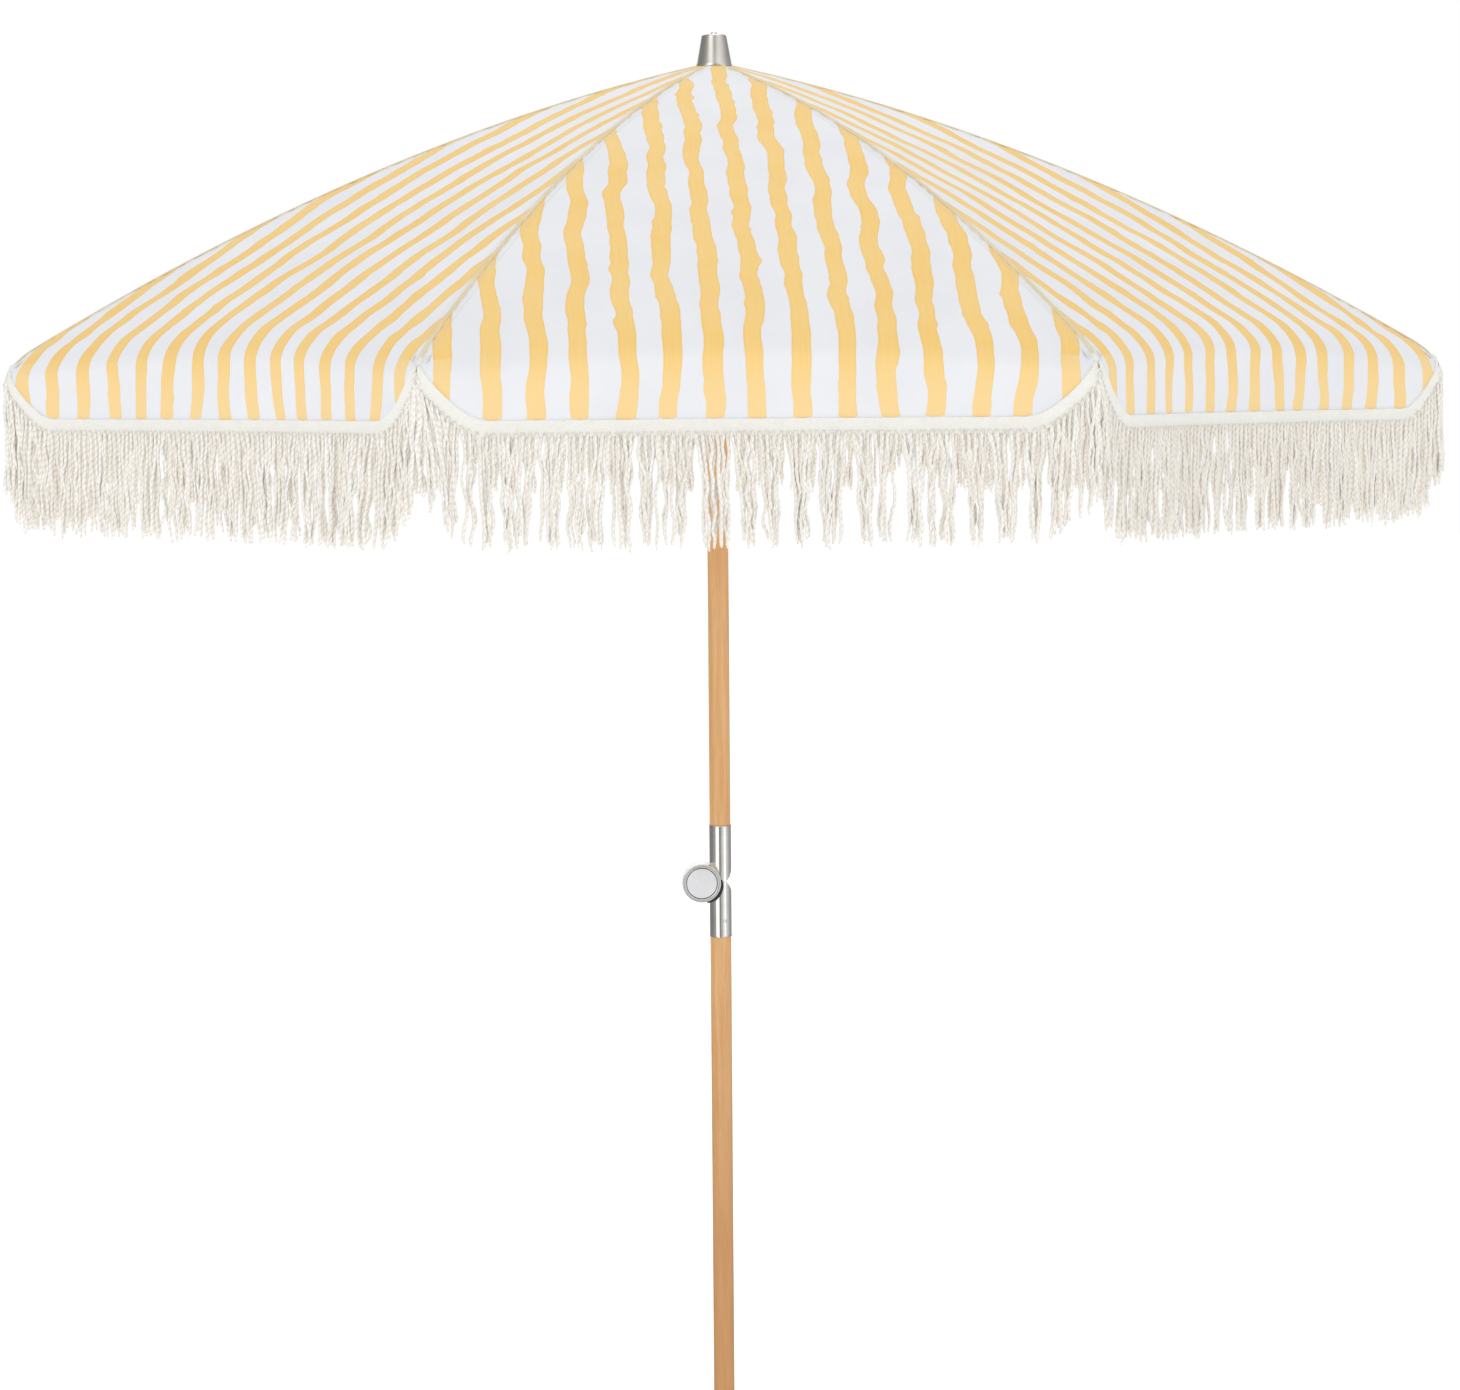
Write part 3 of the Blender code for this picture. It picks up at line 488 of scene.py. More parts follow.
def makeCotton():
    cotton = Finish("twisted_cotton")
    around, down, _ = cotton.parts(cotton.uv("cord"))
    island = cotton.node("ShaderNodeNewGeometry", None, None, "Random Per Island")
    ply = ((down / cottonLook["ply"] + around) * (2 * math.pi)).sine()
    fuzz = cotton.noise(cotton.join(around * 6.0, down * 700.0, island * 50.0), 1.0, 3.0, 0.6)
    colour = cotton.blend(island, cottonLook["pale"], cottonLook["cream"])
    # painted shade: the grooves between the twisted plies are darkened
    colour = cotton.blend((0.1 - ply) * 0.35, colour, cottonLook["deep"])
    colour = cotton.blend((0.42 - fuzz) * 1.1, colour, cottonLook["deep"])
    cotton.set("Base Color", colour)
    cotton.set("Roughness", fuzz * 0.12 + 0.84)
    cotton.set("Sheen Weight", 0.3)
    cotton.bump(ply * 0.6 + fuzz * 0.4, 0.0004, 0.8)
    return cotton.material


woodLook = {
    "light": (0.735, 0.440, 0.195),
    "warm": (0.655, 0.345, 0.125),
    "foot": (0.470, 0.205, 0.060),
    "dark": (0.400, 0.170, 0.050),
    "footBand": (0.45, 1.10),   # heights between which the wood darkens
    "footDepth": 0.62,
}


def makeWood():
    wood = Finish("varnished_wood")
    place = wood.place()
    stretch = wood.scaled(place, (1.0, 1.0, 0.045))
    bend = wood.noise(place, 2.2, 2.0)
    x, y, z = wood.parts(stretch)
    board = wood.join(x + bend * 0.010, y, z)
    rings = wood.noise(board, 160.0, 3.0, 0.55)
    fibre = wood.noise(wood.scaled(place, (1.0, 1.0, 0.012)), 900.0, 3.0, 0.6)
    pore = wood.noise(wood.scaled(place, (1.0, 1.0, 0.03)), 1500.0, 1.0)
    colour = wood.blend(rings.ease(0.32, 0.68), woodLook["light"], woodLook["warm"])
    colour = wood.blend((fibre - 0.35) * 0.45, colour, woodLook["dark"])
    lines = pore.ease(0.66, 0.72) * 0.45
    colour = wood.blend(lines, colour, woodLook["dark"])
    tone = wood.noise(place, 1.6, 2.0)
    colour = wood.blend(tone.ease(0.35, 0.7) * 0.35, colour, woodLook["warm"])
    # darker towards the foot
    height = wood.parts(place)[2]
    low = (1 - height.ease(*woodLook["footBand"])) * woodLook["footDepth"]
    colour = wood.blend(low, colour, woodLook["foot"])
    wood.set("Base Color", colour)
    wood.set("Roughness", rings * 0.12 + 0.36 + lines * 0.3)
    wood.set("Coat Weight", 0.25)
    wood.set("Coat Roughness", 0.25)
    wood.bump(fibre * 0.4 - lines, 0.0003, 0.5)
    return wood.material


def makeMetal(name, colour, shade, rough, wear=0.06):
    # brushed along its height
    metal = Finish(name)
    place = metal.place()
    brush = metal.noise(metal.scaled(place, (1.0, 1.0, 0.02)), 2200.0, 2.0, 0.6)
    cloud = metal.noise(place, 60.0, 3.0)
    metal.set("Base Color", metal.blend(cloud.ease(0.3, 0.75), colour, shade))
    metal.set("Metallic", 1.0)
    metal.set("Roughness", brush * wear + cloud * 0.06 + rough)
    metal.bump(brush, 0.00008, 0.35)
    return metal.material


def makeCoated(name, colour, shade, rough):
    paint = Finish(name)
    place = paint.place()
    peel = paint.noise(place, 700.0, 2.0)
    cloud = paint.noise(place, 25.0, 3.0)
    paint.set("Base Color", paint.blend(cloud.ease(0.35, 0.75), colour, shade))
    paint.set("Roughness", cloud * 0.12 + rough)
    paint.bump(peel, 0.0002, 0.25)
    return paint.material


finishes = {
    "canvas": makeCanvas(),
    # the reverse shows the stripes faded: painted light, in place of light coming through the cloth
    "canvasBack": makeCanvas("canvas_reverse", 0.45),
    "tape": makeTapeCloth("plain_canvas_tape", (0.80, 0.80, 0.79), (0.73, 0.73, 0.71)),
    "welt": makeTapeCloth("seam_welt_canvas", (0.84, 0.74, 0.52), (0.80, 0.66, 0.38)),
    "braid": makeBraid(),
    "cotton": makeCotton(),
    "wood": makeWood(),
    "steel": makeMetal("brushed_steel", (0.80, 0.79, 0.765), (0.74, 0.73, 0.70), 0.10),
    "spun": makeMetal("spun_steel", (0.76, 0.74, 0.69), (0.70, 0.68, 0.62), 0.27),
    "satin": makeMetal("satin_chrome", (0.86, 0.86, 0.85), (0.82, 0.82, 0.81), 0.30),
    "chrome": makeMetal("polished_chrome", (0.74, 0.74, 0.74), (0.68, 0.68, 0.68), 0.05, 0.02),
    "plate": makeCoated("satin_plate", (0.69, 0.70, 0.72), (0.65, 0.66, 0.68), 0.30),
    "enamel": makeCoated("white_enamel", (0.80, 0.80, 0.78), (0.74, 0.74, 0.71), 0.32),
    "nylon": makeCoated("moulded_nylon", (0.78, 0.77, 0.73), (0.72, 0.71, 0.66), 0.42),
    # black for the arc in the gap under the button's lug: painted shade
    "gapShadowBlack": makeCoated("painted_gap_shadow", (0.012, 0.012, 0.013), (0.022, 0.022, 0.022), 0.55),
}
print("materials made:", len(finishes))

cadFinish = {
    "wood": "wood",
    "steel": "steel",
    "chrome": "chrome",
    "coated_steel": "enamel",
    "nylon": "nylon",
    "badge": "plate",
}
for part in frame["record"]["subparts"]:
    node = nodes[part["node"]]
    chosen = finishes[cadFinish.get(part["material_slot"], "tape")]
    node.data.materials.clear()
    node.data.materials.append(chosen)


# mesh helpers

def addPiece(
    name, points, faces, finish, body, uvs=None, lot=None, uvName="cloth", aboveHem=None
):
    mesh = bpy.data.meshes.new(name)
    mesh.from_pydata(points, [], faces)
    mesh.materials.append(finishes[finish])
    for face in mesh.polygons:
        face.use_smooth = True
    layers = {}
    if uvs:
        layers[uvName] = uvs
    if lot:
        layers["lot"] = [lot] * len(points)
        layers["hem"] = [(height, 0) for height in aboveHem or [0.2] * len(points)]
    for key, values in layers.items():
        layer = mesh.uv_layers.new(name=key)
        for loop in mesh.loops:
            layer.data[loop.index].uv = values[loop.vertex_index]
    piece = bpy.data.objects.new(name, mesh)
    bpy.context.scene.collection.objects.link(piece)
    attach(piece, body)
    return piece


def gridFaces(columns, rows):
    wide = columns + 1
    corners = [row * wide + column for row in range(rows) for column in range(columns)]
    return [(corner, corner + wide, corner + wide + 1, corner + 1) for corner in corners]


def tubeFaces(sides, steps, first=0, falling=False):
    # a closed tube from point number first; a falling one goes from top to bottom
    faces = []
    for step in range(steps):
        near, far = first + step * sides, first + (step + 1) * sides
        for side in range(sides):
            beside = (side + 1) % sides
            face = (near + side, near + beside, far + beside, far + side)
            faces.append(face[:1] + face[:0:-1] if falling else face)
    ends = [list(range(first, first + sides)), list(range(far, far + sides))]
    ends[1 if falling else 0].reverse()
    return faces + [tuple(end) for end in ends]


def thicken(piece, thickness, back=None):
    solid = piece.modifiers.new("thickness", "SOLIDIFY")
    solid.thickness = thickness
    solid.offset = -1.0
    if back:
        piece.data.materials.append(finishes[back])
        solid.material_offset = 1
    bake(piece)
    piece.data.set_sharp_from_angle(angle=math.radians(50))


def bake(piece):
    bpy.context.view_layer.update()
    graph = bpy.context.evaluated_depsgraph_get()
    made = piece.evaluated_get(graph)
    mesh = bpy.data.meshes.new_from_object(made, preserve_all_data_layers=True, depsgraph=graph)
    piece.modifiers.clear()
    piece.data = mesh


def turnPiece(name, outline, finish, body, steps=64, stand=None, ring=False):
    # an outline of (radius, height) turned round an axis, top to bottom down its outer side
    points, faces = [], []
    for step in range(steps):
        turn = 2 * math.pi * step / steps
        x, y = math.cos(turn), math.sin(turn)
        points += [(radius * x, radius * y, height) for radius, height in outline]
    count = len(outline)
    last = count if ring else count - 1
    for step in range(steps):
        near, far = step * count, (step + 1) % steps * count
        for i in range(last):
            j = (i + 1) % count
            faces.append((near + i, near + j, far + j, far + i))
    if stand:
        points = [tuple(stand @ Vector(point)) for point in points]
    piece = addPiece(name, points, faces, finish, body)
    work = bmesh.new()
    work.from_mesh(piece.data)
    bmesh.ops.remove_doubles(work, verts=work.verts, dist=0.00001)
    bmesh.ops.recalc_face_normals(work, faces=work.faces)
    work.to_mesh(piece.data)
    work.free()
    piece.data.set_sharp_from_angle(angle=math.radians(40))
    return piece


def arc(centre, radius, first, last, count=6):
    angles = [math.radians(first + (last - first) * i / count) for i in range(count + 1)]
    return [(centre[0] + radius * math.cos(a), centre[1] + radius * math.sin(a)) for a in angles]


def facing(angle):
    # from a panel's or rib's own axes (out, along the rim, up) to the frame
    return Matrix.Rotation(angle, 4, "Z")


# canopy

def canvasHeight(radius):
    share = radius / tipRadius
    return apexHeight - canopyDrop * share + bow * share * (1 - share)


def rimAt(across):
    return tipRadius - rimArch * (1 - across * across)


def hemAt(across):
    room = (1 - abs(across)) / canopy["hemCorner"]
    drop = 1 - max(0.0, 1 - room) ** canopy["hemRound"]
    return tipHeight - canopy["hemEnd"] - (canopy["hemDrop"] - canopy["hemEnd"]) * drop


def panelPoint(index, across, share):
    eye = canopy["eyeRadius"]
    rim = rimAt(across)
    along = eye + share * (rim - eye)
    half = along * sinHalf
    out, side = along * cosHalf, across * half
    free = 1 - across * across
    height = canvasHeight(along)
    height -= canopy["sag"] * free * math.sin(math.pi * share ** canopy["sagLow"])
    toRim = rim - along
    if toRim < canopy["roll"]:
        height -= canopy["rollDrop"] * (1 - toRim / canopy["roll"]) ** 2
    fromSeam = (1 - abs(across)) * half
    still = min(1.0, toRim / canopy["stillRim"])
    still = still * still * (3 - 2 * still)
    gain = min(1.0, fromSeam / canopy["stillSeam"]) * min(1.0, share * 5) * still
    soft = noise.noise(Vector((side * 5 + index * 9.1, along * 3.2, index * 3.7)))
    height += canopy["wrinkle"] * soft * gain
    tip = math.hypot(half - abs(side), tipRadius - along)
    ray = math.atan2(half - abs(side), tipRadius - along + 0.02)
    crease = math.sin(ray * canopy["fanRays"] + index) * math.exp(-tip / canopy["fanReach"])
    height += canopy["fan"] * crease * min(1.0, fromSeam / 0.012) * still
    pucker = math.sin(along * 2 * math.pi / canopy["puckerPitch"] + index)
    height += canopy["pucker"] * pucker * math.exp(-fromSeam / canopy["puckerReach"]) * still
    return out, side, height


def makePanel(index):
    columns, rows = 56, 84
    turn = facing(2 * halfStep * index)
    points, uvs = [], []
    for row in range(rows + 1):
        share = 1 - (1 - row / rows) ** 1.25
        for column in range(columns + 1):
            across = -1 + 2 * column / columns
            out, side, height = panelPoint(index, across, share)
            points.append(tuple(turn @ Vector((out, side, height))))
            uvs.append((side, out * clothStretch))
    lot = (index * 11.3, index * 5.9)
    name, body = f"canvas_panel_{index + 1}", f"canopy_panel_{index + 1}"
    panel = addPiece(name, points, gridFaces(columns, rows), "canvas", body, uvs, lot)
    thicken(panel, canopy["thick"], "canvasBack")
    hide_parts(body)
    panelArea()
    gather(panel, index)


def panelArea():
    # flat area of one cut panel, by strips along the rib
    steps = 200
    length = tipRadius - canopy["eyeRadius"]
    area = 0.0
    for step in range(steps):
        radius = canopy["eyeRadius"] + length * (step + 0.5) / steps
        wide = 2 * radius * sinHalf
        rise = canvasHeight(radius + 0.001) - canvasHeight(radius - 0.001)
        area += wide * length / steps * cosHalf * math.hypot(1, rise / (0.002 * cosHalf))
    return area - 2 / 3 * rimArch * rimLength * canopy["archArea"]


def gather(piece, index):
    # gives the piece a mesh of its own
    angle = 2 * halfStep * index
    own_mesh(piece)


def hangPoint(index, across, down):
    # down is 0 at the rim and 1 at the hem
    rim = rimAt(across)
    top = canvasHeight(rim) - canopy["rollDrop"]
    height = top + down * (hemAt(across) - top)
    fall = top - height
    slope = (canvasHeight(rim - 0.001) - canvasHeight(rim)) / (0.001 * cosHalf)
    slope += 2 * canopy["rollDrop"] / (canopy["roll"] * cosHalf)
    left = max(0.0, 1 - fall / canopy["bend"])
    bulge = canopy["bend"] / (2 * slope) * (1 - left * left)
    free = 1 - across ** 8
    drop = fall / canopy["hemDrop"]
    wave = math.sin(across * 7.3 + index * 1.9) + 0.55 * math.sin(across * 17.1 + index * 2.7)
    bulge += canopy["foldDepth"] * wave * drop * free
    reach = rim + bulge / cosHalf
    return reach * cosHalf, across * reach * sinHalf, height


def makeValance(index):
    columns, rows = 72, 16
    turn = facing(2 * halfStep * index)
    points, uvs, aboveHem = [], [], []
    for row in range(rows + 1):
        for column in range(columns + 1):
            across = -1 + 2 * column / columns
            out, side, height = hangPoint(index, across, row / rows)
            points.append(tuple(turn @ Vector((out, side, height))))
            aboveHem.append(height - hemAt(across))
            rim = rimAt(across)
            fallen = canvasHeight(rim) - canopy["rollDrop"] - height
            uvs.append((side, rim * cosHalf * clothStretch + fallen))
    lot = (index * 11.3, index * 5.9)
    name, body = f"valance_cloth_{index + 1}", f"valance_{index + 1}"
    faces = gridFaces(columns, rows)
    valance = addPiece(name, points, faces, "canvas", body, uvs, lot, aboveHem=aboveHem)
    thicken(valance, canopy["thick"], "canvasBack")
    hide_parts(f"fringed_valance_{index + 1}")
    return valance


def hangDepth(across):
    # how far the hem hangs under the rim
    return canvasHeight(rimAt(across)) - canopy["rollDrop"] - hemAt(across)


def valanceArea():
    # the rim's width by the drop, less the arch and the hem's corners
    strips = 100
    middles = (-0.99 + 0.02 * strip for strip in range(strips))
    return sum(hangDepth(across) * rimLength / strips for across in middles)


# the cotton fringe: a woven header with twisted cords under it
fringe = {
    "headerWidth": 0.0150,
    "headerLap": 0.003,
    "headerThick": 0.0024,
    "headerOut": 0.0016,    # how far it stands off the cloth, and its ripple
    "headerRipple": 0.0005,
    "spacing": 0.0040,
    "length": 0.127,
    "cuts": (0.94, 0.97, 1.0, 1.02, 0.88, 1.0),
    "tie": 0.004,           # a cord starts this far up inside the header
    "layer": 0.0015,        # cords lie in two layers, one before the other
    "radius": 0.0021,
    "sides": 6,
    "rings": 18,
    "clump": 0.027,
    "draw": 0.74,           # how far the cords of a clump draw together at their ends
    "stray": 0.0028,
    "drift": 0.010,
    "sway": 0.004,
    "waveSize": (0.0005, 0.0017),
    "waveSpan": (0.035, 0.085),
    "crimpSize": (0.0002, 0.0005),
    "crimpSpan": (0.012, 0.018),
    "twist": 0.015,
    "lobe": 0.20,           # how far the twisted plies stand out
    "anyTurn": 6.28,
    "seed": 20,
}


def hemFrame(index, across):
    # a point on the hem, and the way down from it square to the hem
    step = 0.004
    here = Vector(hangPoint(index, across, 1.0))
    before = Vector(hangPoint(index, max(-1, across - step), 1.0))
    after = Vector(hangPoint(index, min(1, across + step), 1.0))
    along = (after - before).normalized()
    down = along.cross(Vector((1, 0, 0))).normalized()
    if down.z > 0:
        down = -down
    return here, down


def keepInside(point):
    # neither side crosses the seam into the next panel
    limit = point.x * math.tan(halfStep)
    point.y = max(-limit, min(limit, point.y))
    return point


def makeHeader(index):
    columns, rows = 120, 4
    turn = facing(2 * halfStep * index)
    wide = fringe["headerWidth"] + fringe["headerLap"]
    points, uvs = [], []
    for row in range(rows + 1):
        for column in range(columns + 1):
            across = -1 + 2 * column / columns
            here, down = hemFrame(index, across)
            reach = wide * row / rows - fringe["headerLap"]
            point = keepInside(here + down * reach)
            ripple = fringe["headerRipple"] * math.sin(across * 150 + index)
            point.x += fringe["headerOut"] + ripple
            points.append(tuple(turn @ point))
            uvs.append((across * tipRadius * sinHalf, reach))
    name, body = f"fringe_header_{index + 1}", f"valance_{index + 1}"
    faces = gridFaces(columns, rows)
    header = addPiece(name, points, faces, "braid", body, uvs)
    thicken(header, fringe["headerThick"])
    return header


def cordRoots(index):
    # evenly spaced places along the hem, measured along its curve
    steps = 600
    samples = [-1 + 2 * step / steps for step in range(steps + 1)]
    places = [Vector(hangPoint(index, across, 1.0)) for across in samples]
    total, marks = 0.0, [0.0]
    for first, second in zip(places, places[1:]):
        total += (second - first).length
        marks.append(total)
    count = int(total / fringe["spacing"])
    roots, spot = [], 0
    for number in range(count):
        goal = total * (number + 0.5) / count
        while marks[spot + 1] < goal:
            spot += 1
        part = (goal - marks[spot]) / (marks[spot + 1] - marks[spot])
        roots.append(samples[spot] + part * (samples[spot + 1] - samples[spot]))
    return roots


def clumpPlaces(chance, reach):
    # places along the rim where neighbouring cords gather
    places, spot = [], -reach
    while spot < reach:
        spot += fringe["clump"] * chance.uniform(0.45, 1.5)
        places.append(spot)
    return places


def makeCords(index):
    chance = random.Random(fringe["seed"] + index)
    turn = facing(2 * halfStep * index)
    sides, rings = fringe["sides"], fringe["rings"]
    clumps = clumpPlaces(chance, tipRadius * sinHalf)

    def curl(size, span):
        # how big a curl is, how long, and where it starts
        big, long = chance.uniform(*fringe[size]), chance.uniform(*fringe[span])
        return big, long, chance.uniform(0, fringe["anyTurn"])

    points, faces, uvs = [], [], []
    for number, across in enumerate(cordRoots(index)):
        here, down = hemFrame(index, across)
        root = keepInside(here + down * (fringe["headerWidth"] - fringe["tie"]))
        layer = (number % 2) * 2 - 1
        root.x += fringe["layer"] * layer + 0.001
        length = fringe["length"] * chance.choice(fringe["cuts"]) * chance.uniform(0.97, 1.03)
        nearest = min(clumps, key=lambda place: abs(place - root.y))
        lean = (nearest - root.y) * fringe["draw"] * chance.uniform(0.3, 1.0)
        lean += chance.gauss(0, fringe["stray"])
        lean += fringe["drift"] * noise.noise(Vector((root.y * 16, index * 8.3, 9.5)))
        sway = chance.gauss(0, fringe["sway"])
        waves = [curl("waveSize", "waveSpan") for _ in range(2)]
        crimp = curl("crimpSize", "crimpSpan")
        size = fringe["radius"] * chance.uniform(0.82, 1.12)
        phase = chance.uniform(0, fringe["anyTurn"])
        first = len(points)
        for ring in range(rings + 1):
            share = ring / rings
            fall = share * length
            ramp = min(1.0, fall / 0.02)        # straight where it leaves the header
            around = 2 * math.pi * fall
            bend = sum(
                big * math.sin(around / long + start) for big, long, start in waves + [crimp]
            )
            sideBend = sum(
                big * math.cos(around / long + start * 1.7) for big, long, start in waves
            )
            centre = Vector((root.x, root.y, root.z - fall))
            centre.y += lean * (1 - (1 - share) ** 1.8) + bend * ramp
            centre.x += sway * share ** 1.5 + sideBend * ramp * 0.7
            thick = size * (1 - 0.45 * max(0.0, (share - 0.93) / 0.07))     # thin at its end
            for side in range(sides):
                spin = 2 * math.pi * side / sides
                lobe = math.cos(2 * (spin - around / fringe["twist"] - phase))
                reach = thick * (1 + fringe["lobe"] * lobe)
                offset = Vector((math.cos(spin), math.sin(spin), 0)) * reach
                points.append(tuple(turn @ (centre + offset)))
                uvs.append((side / sides, fall + number))
        faces += tubeFaces(sides, rings, first, True)
    name, body = f"fringe_cords_{index + 1}", f"valance_{index + 1}"
    return addPiece(name, points, faces, "cotton", body, uvs, uvName="cord")


for index in range(panelCount):
    makePanel(index)
print("canopy panels made")

for index in range(panelCount):
    valance = makeValance(index)
    hung = [makeHeader(index), makeCords(index)]
    flat = (rimLength, hangDepth(0))
    valanceArea()
    for piece in (valance, *hung):
        gather(piece, index)
print("valances and fringe made")


# a narrow ridge stands on each seam, and a tape lies under it along the rib
welt = {"half": 0.0027, "tall": 0.0017, "start": 0.027, "stop": 0.004, "thick": 0.0006}
tape = {
    "half": 0.025,
    "gap": 0.0022,
    "thick": 0.0008,
    "start": 0.030,
    "stop": 0.004,
    "taper": 0.35,          # half its width for a metre from the crown, near the crown
    "sag": 0.0028,
    "bendShare": 0.025,     # the outer share of the rib where it bends down
    "length": 1.09,         # metres of tape for a metre of the rib's plan
}


def makeWelt(index):
    columns, rows = 8, 90
    turn = facing(2 * halfStep * index + halfStep)
    points = []
    for row in range(rows + 1):
        along = welt["start"] + (tipRadius - welt["stop"] - welt["start"]) * row / rows
        toRim = tipRadius - along
        roll = canopy["rollDrop"] * max(0.0, 1 - toRim / canopy["roll"]) ** 2
        uneven = noise.noise(Vector((along * 60, index * 3.3, 1)))
        weave = 0.0003 * math.sin(along * 310 + index) + 0.0003 * uneven
        for column in range(columns + 1):
            swing = math.pi * column / columns
            side = -welt["half"] * math.cos(swing) + weave
            height = canvasHeight(along) - roll + welt["tall"] * math.sin(swing) - 0.0004
            points.append(tuple(turn @ Vector((along, side, height))))
    name, body = f"seam_welt_{index + 1}", f"rib_{index + 1}"
    ridge = addPiece(name, points, gridFaces(columns, rows), "welt", body)
    thicken(ridge, welt["thick"])
    return ridge


def makeTape(index):
    columns, rows = 12, 60
    turn = facing(2 * halfStep * index + halfStep)
    points = []
    for row in range(rows + 1):
        along = tape["start"] + (tipRadius - tape["stop"] - tape["start"]) * row / rows
        limit = min(tape["half"], along * tape["taper"])
        bent = max(0, (along / tipRadius - 1 + tape["bendShare"]) / tape["bendShare"])
        middle = canvasHeight(along) - tape["gap"] - canopy["rollDrop"] * bent
        for column in range(columns + 1):
            side = limit * (-1 + 2 * column / columns)
            out = along - abs(side) * math.tan(halfStep)
            sag = abs(side) / tape["half"] * math.sin(math.pi * along / tipRadius)
            points.append(tuple(turn @ Vector((out, side, middle - tape["sag"] * sag))))
    name, body = f"seam_tape_{index + 1}", f"rib_{index + 1}"
    strip = addPiece(name, points, gridFaces(columns, rows), "tape", body)
    thicken(strip, tape["thick"])
    ridge = makeWelt(index)


# a pocket of the same tape holds the end of each rib
pocket = {
    "length": 0.050,
    "radius": 0.0062,
    "back": 0.002,          # from the rib's end
    "taper": 0.10,
    "flare": 0.5,           # how far its sewn edges spread
    "wrap": 1.38,           # its flat width, in half turns of its radius
    "thick": 0.0008,
}


def makePocket(index):
    columns, rows = 18, 10
    turn = facing(2 * halfStep * index + halfStep)
    low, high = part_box("rib_tip_1")
    centreHeight = (low.z + high.z) / 2
    points = []
    for row in range(rows + 1):
        share = row / rows
        out = tipRadius - pocket["back"] - pocket["length"] * (1 - share)
        slope = (canvasHeight(out + 0.005) - canvasHeight(out - 0.005)) / 0.01
        middle = centreHeight + (out - (tipRadius - 0.004)) * slope
        radius = pocket["radius"] * (1 - pocket["taper"] * (1 - share))
        for column in range(columns + 1):
            swing = math.pi * (column / columns)
            flare = 1 + pocket["flare"] * max(0.0, abs(math.cos(swing)) - 0.8) / 0.2
            side = -radius * math.cos(swing) * flare
            height = middle - radius * math.sin(swing) + 0.002
            points.append(tuple(turn @ Vector((out, side, height))))
    name, body = f"tip_pocket_{index + 1}", f"rib_{index + 1}"
    cup = addPiece(name, points, gridFaces(columns, rows), "tape", body)
    thicken(cup, pocket["thick"])


for index in range(panelCount):
    makeTape(index)
    makePocket(index)
print("tapes, welts and pockets made")


# fittings; a turned outline starts this far from its axis
axisGap = 0.0001

finial = {
    "topRadius": 0.0172,
    "round": 0.0030,
    "foot": [(-0.0007, 0.0035), (0, 0.0026), (0, 0.0004), (-0.0008, -0.0002)],
    "bore": 0.012,
    "screwRound": 0.0014,
}


def makeFinial():
    low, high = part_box("finial")
    base = canvasHeight(high.x) + 0.0003
    top, bend, bore = finial["topRadius"], finial["round"], finial["bore"]
    outline = [(axisGap, high.z), (top - bend - 0.0015, high.z)]
    outline += arc((top - bend, high.z - bend), bend, 88, 10)
    outline += [(high.x + out, base + up) for out, up in finial["foot"]]
    outline += [(bore, base + 0.0022), (bore, low.z), (axisGap, low.z)]
    cap = turnPiece("finial_cap", outline, "spun", "upper_pole_set")
    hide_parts("finial")
    low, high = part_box("finial_screw")
    radius, bend = high.x, finial["screwRound"]
    dome = [(axisGap, high.z)] + arc((radius - bend, high.z - bend), bend, 80, 0, 4)
    dome += [(radius, low.z), (axisGap, low.z)]
    head = turnPiece("finial_screw_head", dome, "steel", "upper_pole_set", 32)
    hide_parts("finial_screw")


button = {
    "round": 0.0016,
    "dish": 0.0004,         # the cap's middle lies this far under its face, the plate above it
    "plateGap": 0.0007,
    "plateRound": 0.0012,
    "ringGap": 0.0006,
    "ringRound": 0.0020,
    "ringBack": 0.001,      # from the button's face to the lug's
    "ringProud": 0.0016,
}


def makeButton():
    low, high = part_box("tilt_button")
    radius = (high.x - low.x) / 2
    face, back = -low.y, -high.y
    # height in these outlines points to the front
    spot = Matrix.Translation((tiltPivot.x, 0, tiltPivot.z))
    stand = spot @ Matrix.Rotation(math.pi / 2, 4, "X")
    edge, dish = button["round"], button["dish"]
    outline = [(axisGap, face - dish)] + arc((radius - edge, face - edge), edge, 90, 0)
    outline += [(radius, back), (axisGap, back)]
    cap = turnPiece("button_cap", outline, "satin", "tilt_button_set", 96, stand)
    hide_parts("tilt_button")
    wide = radius - button["plateGap"]
    plate = [(axisGap, face + dish), (wide - button["plateRound"], face + dish)]
    plate += [(wide, face - 0.0002), (wide, face - 0.0008), (axisGap, face - 0.0008)]
    turnPiece("button_plate", plate, "plate", "tilt_button_set", 96, stand)
    inner = radius + button["ringGap"]
    outer = tiltPivot.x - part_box("upper_knuckle")[0].x
    lug, bend = face - button["ringBack"], button["ringRound"]
    ring = arc((inner + bend, lug), bend, 180, 90) + arc((outer - bend, lug), bend, 90, 0)
    ring += [(outer, lug - 0.0006), (inner, lug - 0.0006)]
    ring = [(across, min(height, lug + button["ringProud"])) for across, height in ring]
    turnPiece("button_ring", ring, "satin", "upper_pole_set", 96, stand, True)


coil = {"wire": 0.0008, "turns": 5, "sides": 8, "steps": 160}


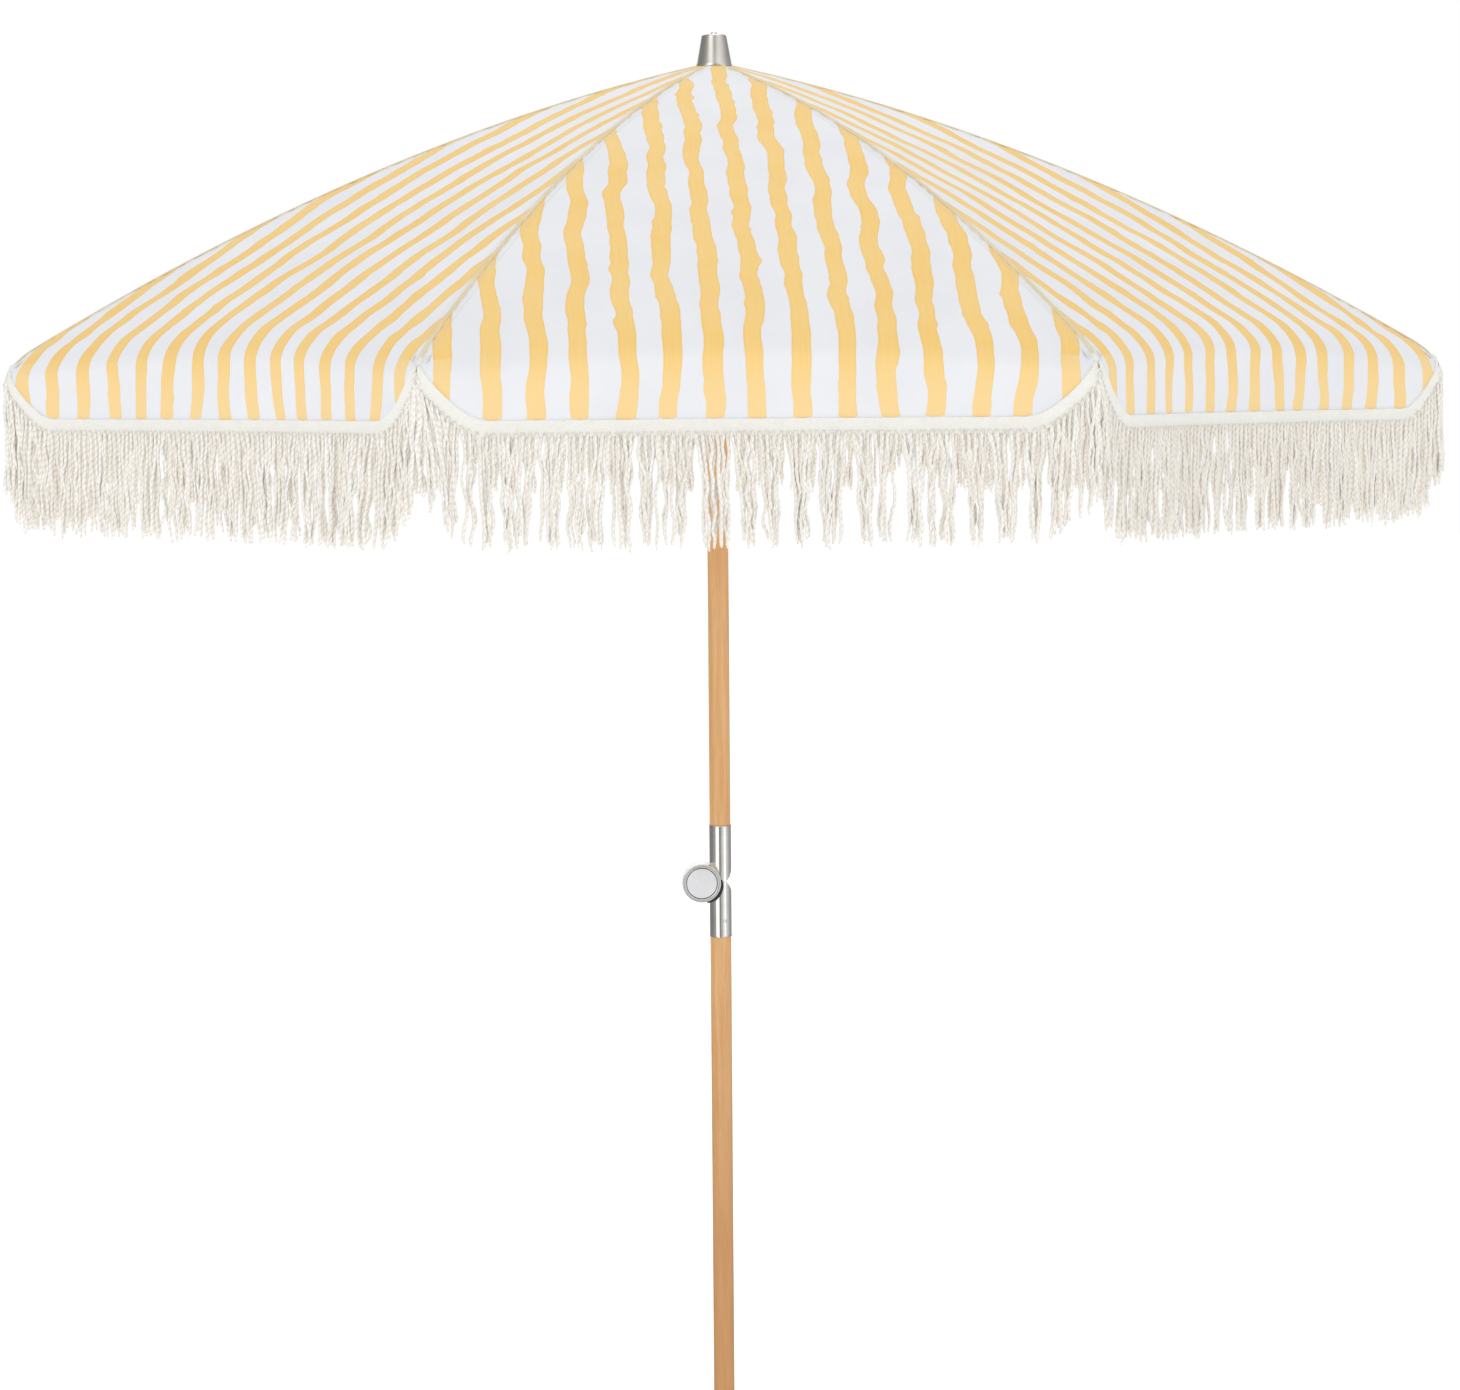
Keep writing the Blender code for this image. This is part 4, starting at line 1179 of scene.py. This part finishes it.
def makeCoil():
    # the spring behind the button, at its full length
    low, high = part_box("button_spring")
    middle = (low + high) / 2
    wire, sides, steps = coil["wire"], coil["sides"], coil["steps"]
    radius = (high.x - low.x) / 2 - wire
    rise = high.y - low.y - 2 * wire
    allTurns = 2 * math.pi * coil["turns"]
    points = []
    for step in range(steps + 1):
        angle = allTurns * step / steps
        x, z = math.cos(angle), math.sin(angle)
        outward = Vector((x, 0, z))
        along = Vector((-z * radius, rise / allTurns, x * radius)).normalized()
        centre = Vector((middle.x, low.y + wire + rise * step / steps, middle.z))
        centre += outward * radius
        for side in range(sides):
            spin = 2 * math.pi * side / sides
            offset = outward * math.cos(spin) + along.cross(outward) * math.sin(spin)
            points.append(tuple(centre + offset * wire))
    faces = tubeFaces(sides, steps)
    spring = addPiece("button_coil", points, faces, "steel", "upper_pole_set")
    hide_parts("button_spring")
    keep = 1 - limits["tilt_button_press"]["range_m"][1] / (high.y - low.y)
    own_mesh(spring)


gapShadow = {
    "sides": 8,
    "steps": 28,
    "from": 8,              # degrees round the tilt axis, and how far on from there
    "sweep": 84,
    "back": 0.0035,
    "out": 0.0010,
    "swell": 0.0033,
    "least": 0.0003,
    "deep": 0.0022,
}


def makeGapShadowArc():
    # painted shade: a black arc stands in the gap under the button's lug, towards the lower ferrule, where that
    # gap lies in shade
    radius = tiltPivot.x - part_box("upper_knuckle")[0].x
    face = -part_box("tilt_button")[0].y - gapShadow["back"]
    points = []
    sides, steps = gapShadow["sides"], gapShadow["steps"]
    for step in range(steps + 1):
        share = step / steps
        angle = math.radians(gapShadow["from"] - gapShadow["sweep"] * share)
        swell = gapShadow["swell"] * math.sin(math.pi * max(0.02, share)) ** 0.5 + gapShadow["least"]
        for side in range(sides):
            spin = 2 * math.pi * side / sides
            reach = radius + gapShadow["out"] + swell * math.cos(spin)
            depth = face + gapShadow["deep"] * math.sin(spin)
            x, z = reach * math.cos(angle), reach * math.sin(angle)
            points.append((tiltPivot.x + x, -depth, tiltPivot.z + z))
    faces = tubeFaces(sides, steps)
    addPiece("gap_shadow_arc", points, faces, "gapShadowBlack", "upper_pole_set")


rivet = {
    "seat": 0.0154,         # from the pole's axis to the ferrule's skin
    "top": 0.0013,
    "round": 0.0025,
    "rim": 0.0023,
    "sunk": 0.0006,
}


def makeRivetHead(name, body, node):
    low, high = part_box(node)
    front = low.y if abs(low.y) > abs(high.y) else high.y
    x = high.x if node == "lower_rivet" else (low.x + high.x) / 2
    outward = Vector((x, front, 0)).normalized()
    spot = outward * rivet["seat"] + Vector((0, 0, (low.z + high.z) / 2))
    stand = Matrix.Translation(spot) @ outward.to_track_quat("Z", "Y").to_matrix().to_4x4()
    sunk = -rivet["sunk"]
    dome = [(axisGap, rivet["top"])]
    dome += arc((0, rivet["top"] - rivet["round"]), rivet["round"], 80, 30, 5)
    dome += [(rivet["rim"], sunk), (axisGap, sunk)]
    turnPiece(name, dome, "steel", body, 24, stand)


ferruleEdge = {"round": 0.0009, "sunk": 0.0003}


def makeBands():
    # a rolled edge closes each ferrule where it meets the wood
    for side, end, way in (("upper", 1, 1), ("lower", 0, -1)):
        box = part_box(f"{side}_knuckle")
        bend = ferruleEdge["round"]
        middle = (box[1].x - ferruleEdge["sunk"], box[end].z - way * bend)
        ring = arc(middle, bend, 0, 315, 7)[::-1]
        name, body = f"{side}_ferrule_edge", f"{side}_pole_set"
        turnPiece(name, ring, "steel", body, ring=True)


makeFinial()
makeButton()
makeCoil()
makeGapShadowArc()
makeRivetHead("lower_rivet_head", "lower_pole_set", "lower_rivet")
makeRivetHead("upper_rivet_head", "upper_pole_set", "upper_rivet")
makeBands()
print("fittings made")

placeCamera()
makeStudio()
